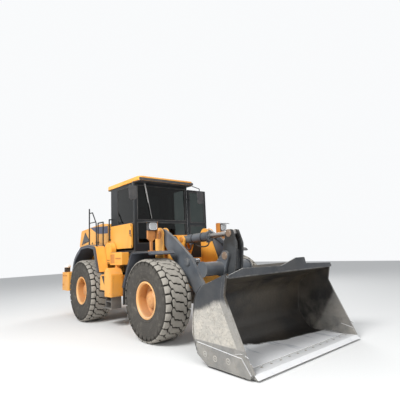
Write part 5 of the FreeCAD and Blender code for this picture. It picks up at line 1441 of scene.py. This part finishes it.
# %% Wiper, drip rail, dark roof lining of painted shade
wiper = Piece()
wiper.turned((-520, -352, 3418), (0, -1, 0), ((0, 26), (14, 24), (20, 16), (26, 0)), 24)
wiper.bar((-520, -370, 3418), (-424, -372, 2940), 9, 6)
wiper.bar((-530, -364, 3400), (-438, -366, 2945), 5, 5)
wiper.sheet(-374, -360, ((-500, 3330), (-490, 3332), (-336, 2562), (-346, 2560)), 1)
wiper.done("wiper_arm", "rear_frame", "pin steel", 1.5)
blade = Piece()
blade.sheet(-362, -354, ((-496, 3328), (-492, 3329), (-340, 2562), (-344, 2561)), 1)
blade.done("wiper_blade", "rear_frame", "seal rubber", 0.6)
rail = Piece()
for s in (-1, 1):
    rail.block(s * 829, s * 836, -560, 1060, 3466, 3478)
rail.done("drip_rail", "rear_frame", "yellow paint", 2.0)
# The dark plates under the roof's eaves and across its front face are painted shade.
shade_lining = Piece()
shade_lining.block(-815, 815, -600, -354, 3444, 3459)
shade_lining.block(-815, 815, 934, 1085, 3444, 3459)
for x in (-560, -180, 180, 560):
    shade_lining.block(x - 70, x + 70, -560, -420, 3436, 3446)
shade_lining.block(-826, 826, -623, -617, 3461, 3526)
shade_lining.done("roof_shade_lining", "rear_frame", "moulded plastic", 4.0)

# %% Door furniture and cab steps
latch = Piece()
latch.block(1395, 1432, -392, -380, 2395, 2475)
latch.bar((1408, -404, 2415), (1408, -404, 2462), 9)
latch.block(1400, 1416, -404, -390, 2412, 2420)
latch.block(1400, 1416, -404, -390, 2457, 2465)
latch.bar((940, -318, 2440), (1360, -318, 2440), 12)
latch.block(932, 948, -344, -316, 2426, 2454)
latch.block(1352, 1368, -344, -316, 2426, 2454)
for z in (2000, 3080):
    for x in (850, 890):
        latch.bolt((x, -380, z + 70), (0, -1, 0), 8, 7)
latch.done("door_latch", "cab_door", "moulded plastic", 2.5)
panel_bits = Piece()
panel_bits.turned((-850, -180, 2150), (-1, 0, 0), ((0, 18), (6, 16), (8, 0)), 20)
panel_bits.block(-858, -850, -215, -150, 2180, 2290)
for z in (1950, 2380):
    panel_bits.bolt((-850, 870, z), (-1, 0, 0), 9, 7)
for z in (1900, 2150, 2400):
    panel_bits.block(-856, -846, -236, -222, z - 30, z + 30)
panel_bits.done("panel_lock", "rear_frame", "moulded plastic", 2.0)

# %% Mirrors
mirror = Piece()
glass = Piece()
for s in (-1, 1):
    mirror.bar((s * 800, -600, 3440), (s * 1020, -640, 3380), 11)
    mirror.bar((s * 1020, -640, 3380), (s * 1030, -640, 3020), 11)
    mirror.sheet(-668, -640, ((s * 930, 3290), (s * 1120, 3290), (s * 1130, 3200), (s * 1120, 2990), (s * 1080, 2960),
                              (s * 970, 2960), (s * 930, 2990), (s * 920, 3200)), 1)
    glass.block(s * 938, s * 1112, -639, -636, 2985, 3272)
mirror.done("mirror_shells", "rear_frame", "moulded plastic", 6.0, steps=3)
glass.done("mirror_glass", "rear_frame", "reflector", 1.0)

# %% [markdown]
# ## Inside the cab
# Behind tinted glass only big shapes show: a console with levers at the driver's right hand, a small screen, the
# pedals, a floor mat and the wall behind the seat. They make the cab look used rather than empty.

# %% Console, screen and pedals
inside = Piece()
inside.sheet(-560, -350, ((60, 1800), (60, 2380), (180, 2440), (640, 2440), (640, 1800)), 0)
inside.sheet(350, 470, ((300, 1800), (300, 2260), (640, 2260), (640, 1800)), 0)
inside.block(-700, 700, 770, 888, 1800, 2440)
inside.block(-740, 740, -318, -290, 1800, 1960)
inside.block(-110, 110, -250, -150, 2262, 2300)
inside.sheet(-120, 120, ((-262, 2300), (-240, 2440), (-200, 2452), (-150, 2320)), 0)
inside.block(-690, -520, -262, -238, 2600, 2730)
inside.bar((-605, -240, 2600), (-605, -240, 2520), 12)
inside.done("cab_console", "rear_frame", "moulded plastic", 12.0, steps=3)
bits = Piece()
for x, y in ((-500, 200), (-440, 200), (-380, 200)):
    bits.turned((x, y, 2440), (0, -0.1, 1), ((-12, 26), (0, 24), (14, 13), (26, 8), (120, 7), (126, 14), (150, 19), (172, 15), (178, 0)), 20)
for x in (-230, 150, 260):
    bits.sheet(x - 42, x + 42, ((-286, 1830), (-276, 1826), (-216, 1960), (-226, 1966)), 0)
    bits.bar((x, -270, 1800), (x, -262, 1870), 10)
bits.turned((120, -110, 2330), (0.8, 0.1, 0.5), ((0, 9), (120, 7), (126, 12), (150, 12), (156, 0)), 14)
bits.block(-560, 560, -240, 300, 1801, 1808)
bits.done("cab_levers", "rear_frame", "seal rubber", 2.0)
screen = Piece()
screen.block(-676, -534, -236, -234, 2614, 2716)
screen.done("cab_screen", "rear_frame", "cab glass", 0.5)
print("cab pieces done")

# %% [markdown]
# ## The seat
# The solid seat only keeps the place and mass. The real one has a bellows base and three padded cushions. Each
# cushion starts as a rounded box, a little smaller than its space, and cloth physics with inner pressure swells
# it, which gives the crown and the pulled-in sides of real foam under cloth.

# %% Seat base
base = Piece()
for k in range(6):
    z = 1850 + k * 42
    base.sheet(z, z + 22, ((-190, 320), (190, 320), (190, 630), (-190, 630)), 2)
    base.sheet(z + 22, z + 42, ((-172, 338), (172, 338), (172, 612), (-172, 612)), 2)
base.block(-205, 205, 305, 645, 1800, 1850)
base.block(-235, 235, 215, 690, 2108, 2196)
for s in (-1, 1):
    base.sheet(s * 276, s * 334, ((272, 2462), (290, 2455), (650, 2455), (690, 2475), (690, 2500), (660, 2508), (300, 2508), (272, 2498)), 0)
    base.sheet(s * 262, s * 276, ((640, 2380), (690, 2380), (690, 2500), (650, 2500)), 0)
base_piece = base.done("seat_base", "rear_frame", "moulded plastic", 6.0, steps=3)
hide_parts("seat")


# %% Padded cushions
def pad(name, x, outline, cap):
    # a rounded block; the outline is (y, z) of its side view in millimetres
    made = Piece()
    made.sheet(-x, x, outline, 0)
    bmesh.ops.recalc_face_normals(made.bm, faces=made.bm.faces)
    mesh = bpy.data.meshes.new(name)
    made.bm.to_mesh(mesh)
    made.bm.free()
    piece = bpy.data.objects.new(name, mesh)
    scene.collection.objects.link(piece)
    rounding = piece.modifiers.new("rounding", "BEVEL")
    rounding.width = 0.028
    rounding.segments = 4
    grain = piece.modifiers.new("grain", "REMESH")
    grain.mode = "VOXEL"
    grain.voxel_size = 0.0085
    apply_all(piece)
    before = [v.co.copy() for v in piece.data.vertices]
    cloth = piece.modifiers.new("cloth", "CLOTH")
    cloth.settings.quality = 4
    cloth.settings.use_pressure = True
    cloth.settings.uniform_pressure_force = 4.0
    cloth.settings.effector_weights.gravity = 0.0
    cloth.point_cache.frame_start = 1
    cloth.point_cache.frame_end = 20
    for moment in range(1, 21):
        scene.frame_set(moment)
    apply_all(piece)
    scene.frame_set(1)
    for v, old in zip(piece.data.vertices, before):
        step = v.co - old
        if step.length > cap / 1000.0:
            v.co = old + step.normalized() * cap / 1000.0
    smooth = piece.modifiers.new("smooth", "SUBSURF")
    smooth.levels = smooth.render_levels = 1
    for polygon in piece.data.polygons:
        polygon.use_smooth = True
    piece.data.materials.append(finishes["seat cloth"])
    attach(piece, "rear_frame")
    return piece


def apply_all(piece):
    depsgraph = bpy.context.evaluated_depsgraph_get()
    mesh = bpy.data.meshes.new_from_object(piece.evaluated_get(depsgraph))
    piece.modifiers.clear()
    piece.data = mesh


pad("seat_cushion", 236, ((185, 2222), (185, 2300), (230, 2316), (660, 2292), (690, 2270), (690, 2222)), 24)
pad("seat_back", 226, ((640, 2330), (722, 2860), (772, 2870), (782, 2850), (716, 2330)), 22)
pad("seat_headrest", 118, ((752, 2905), (762, 3028), (798, 3030), (788, 2905)), 14)
print("seat pads: 3")
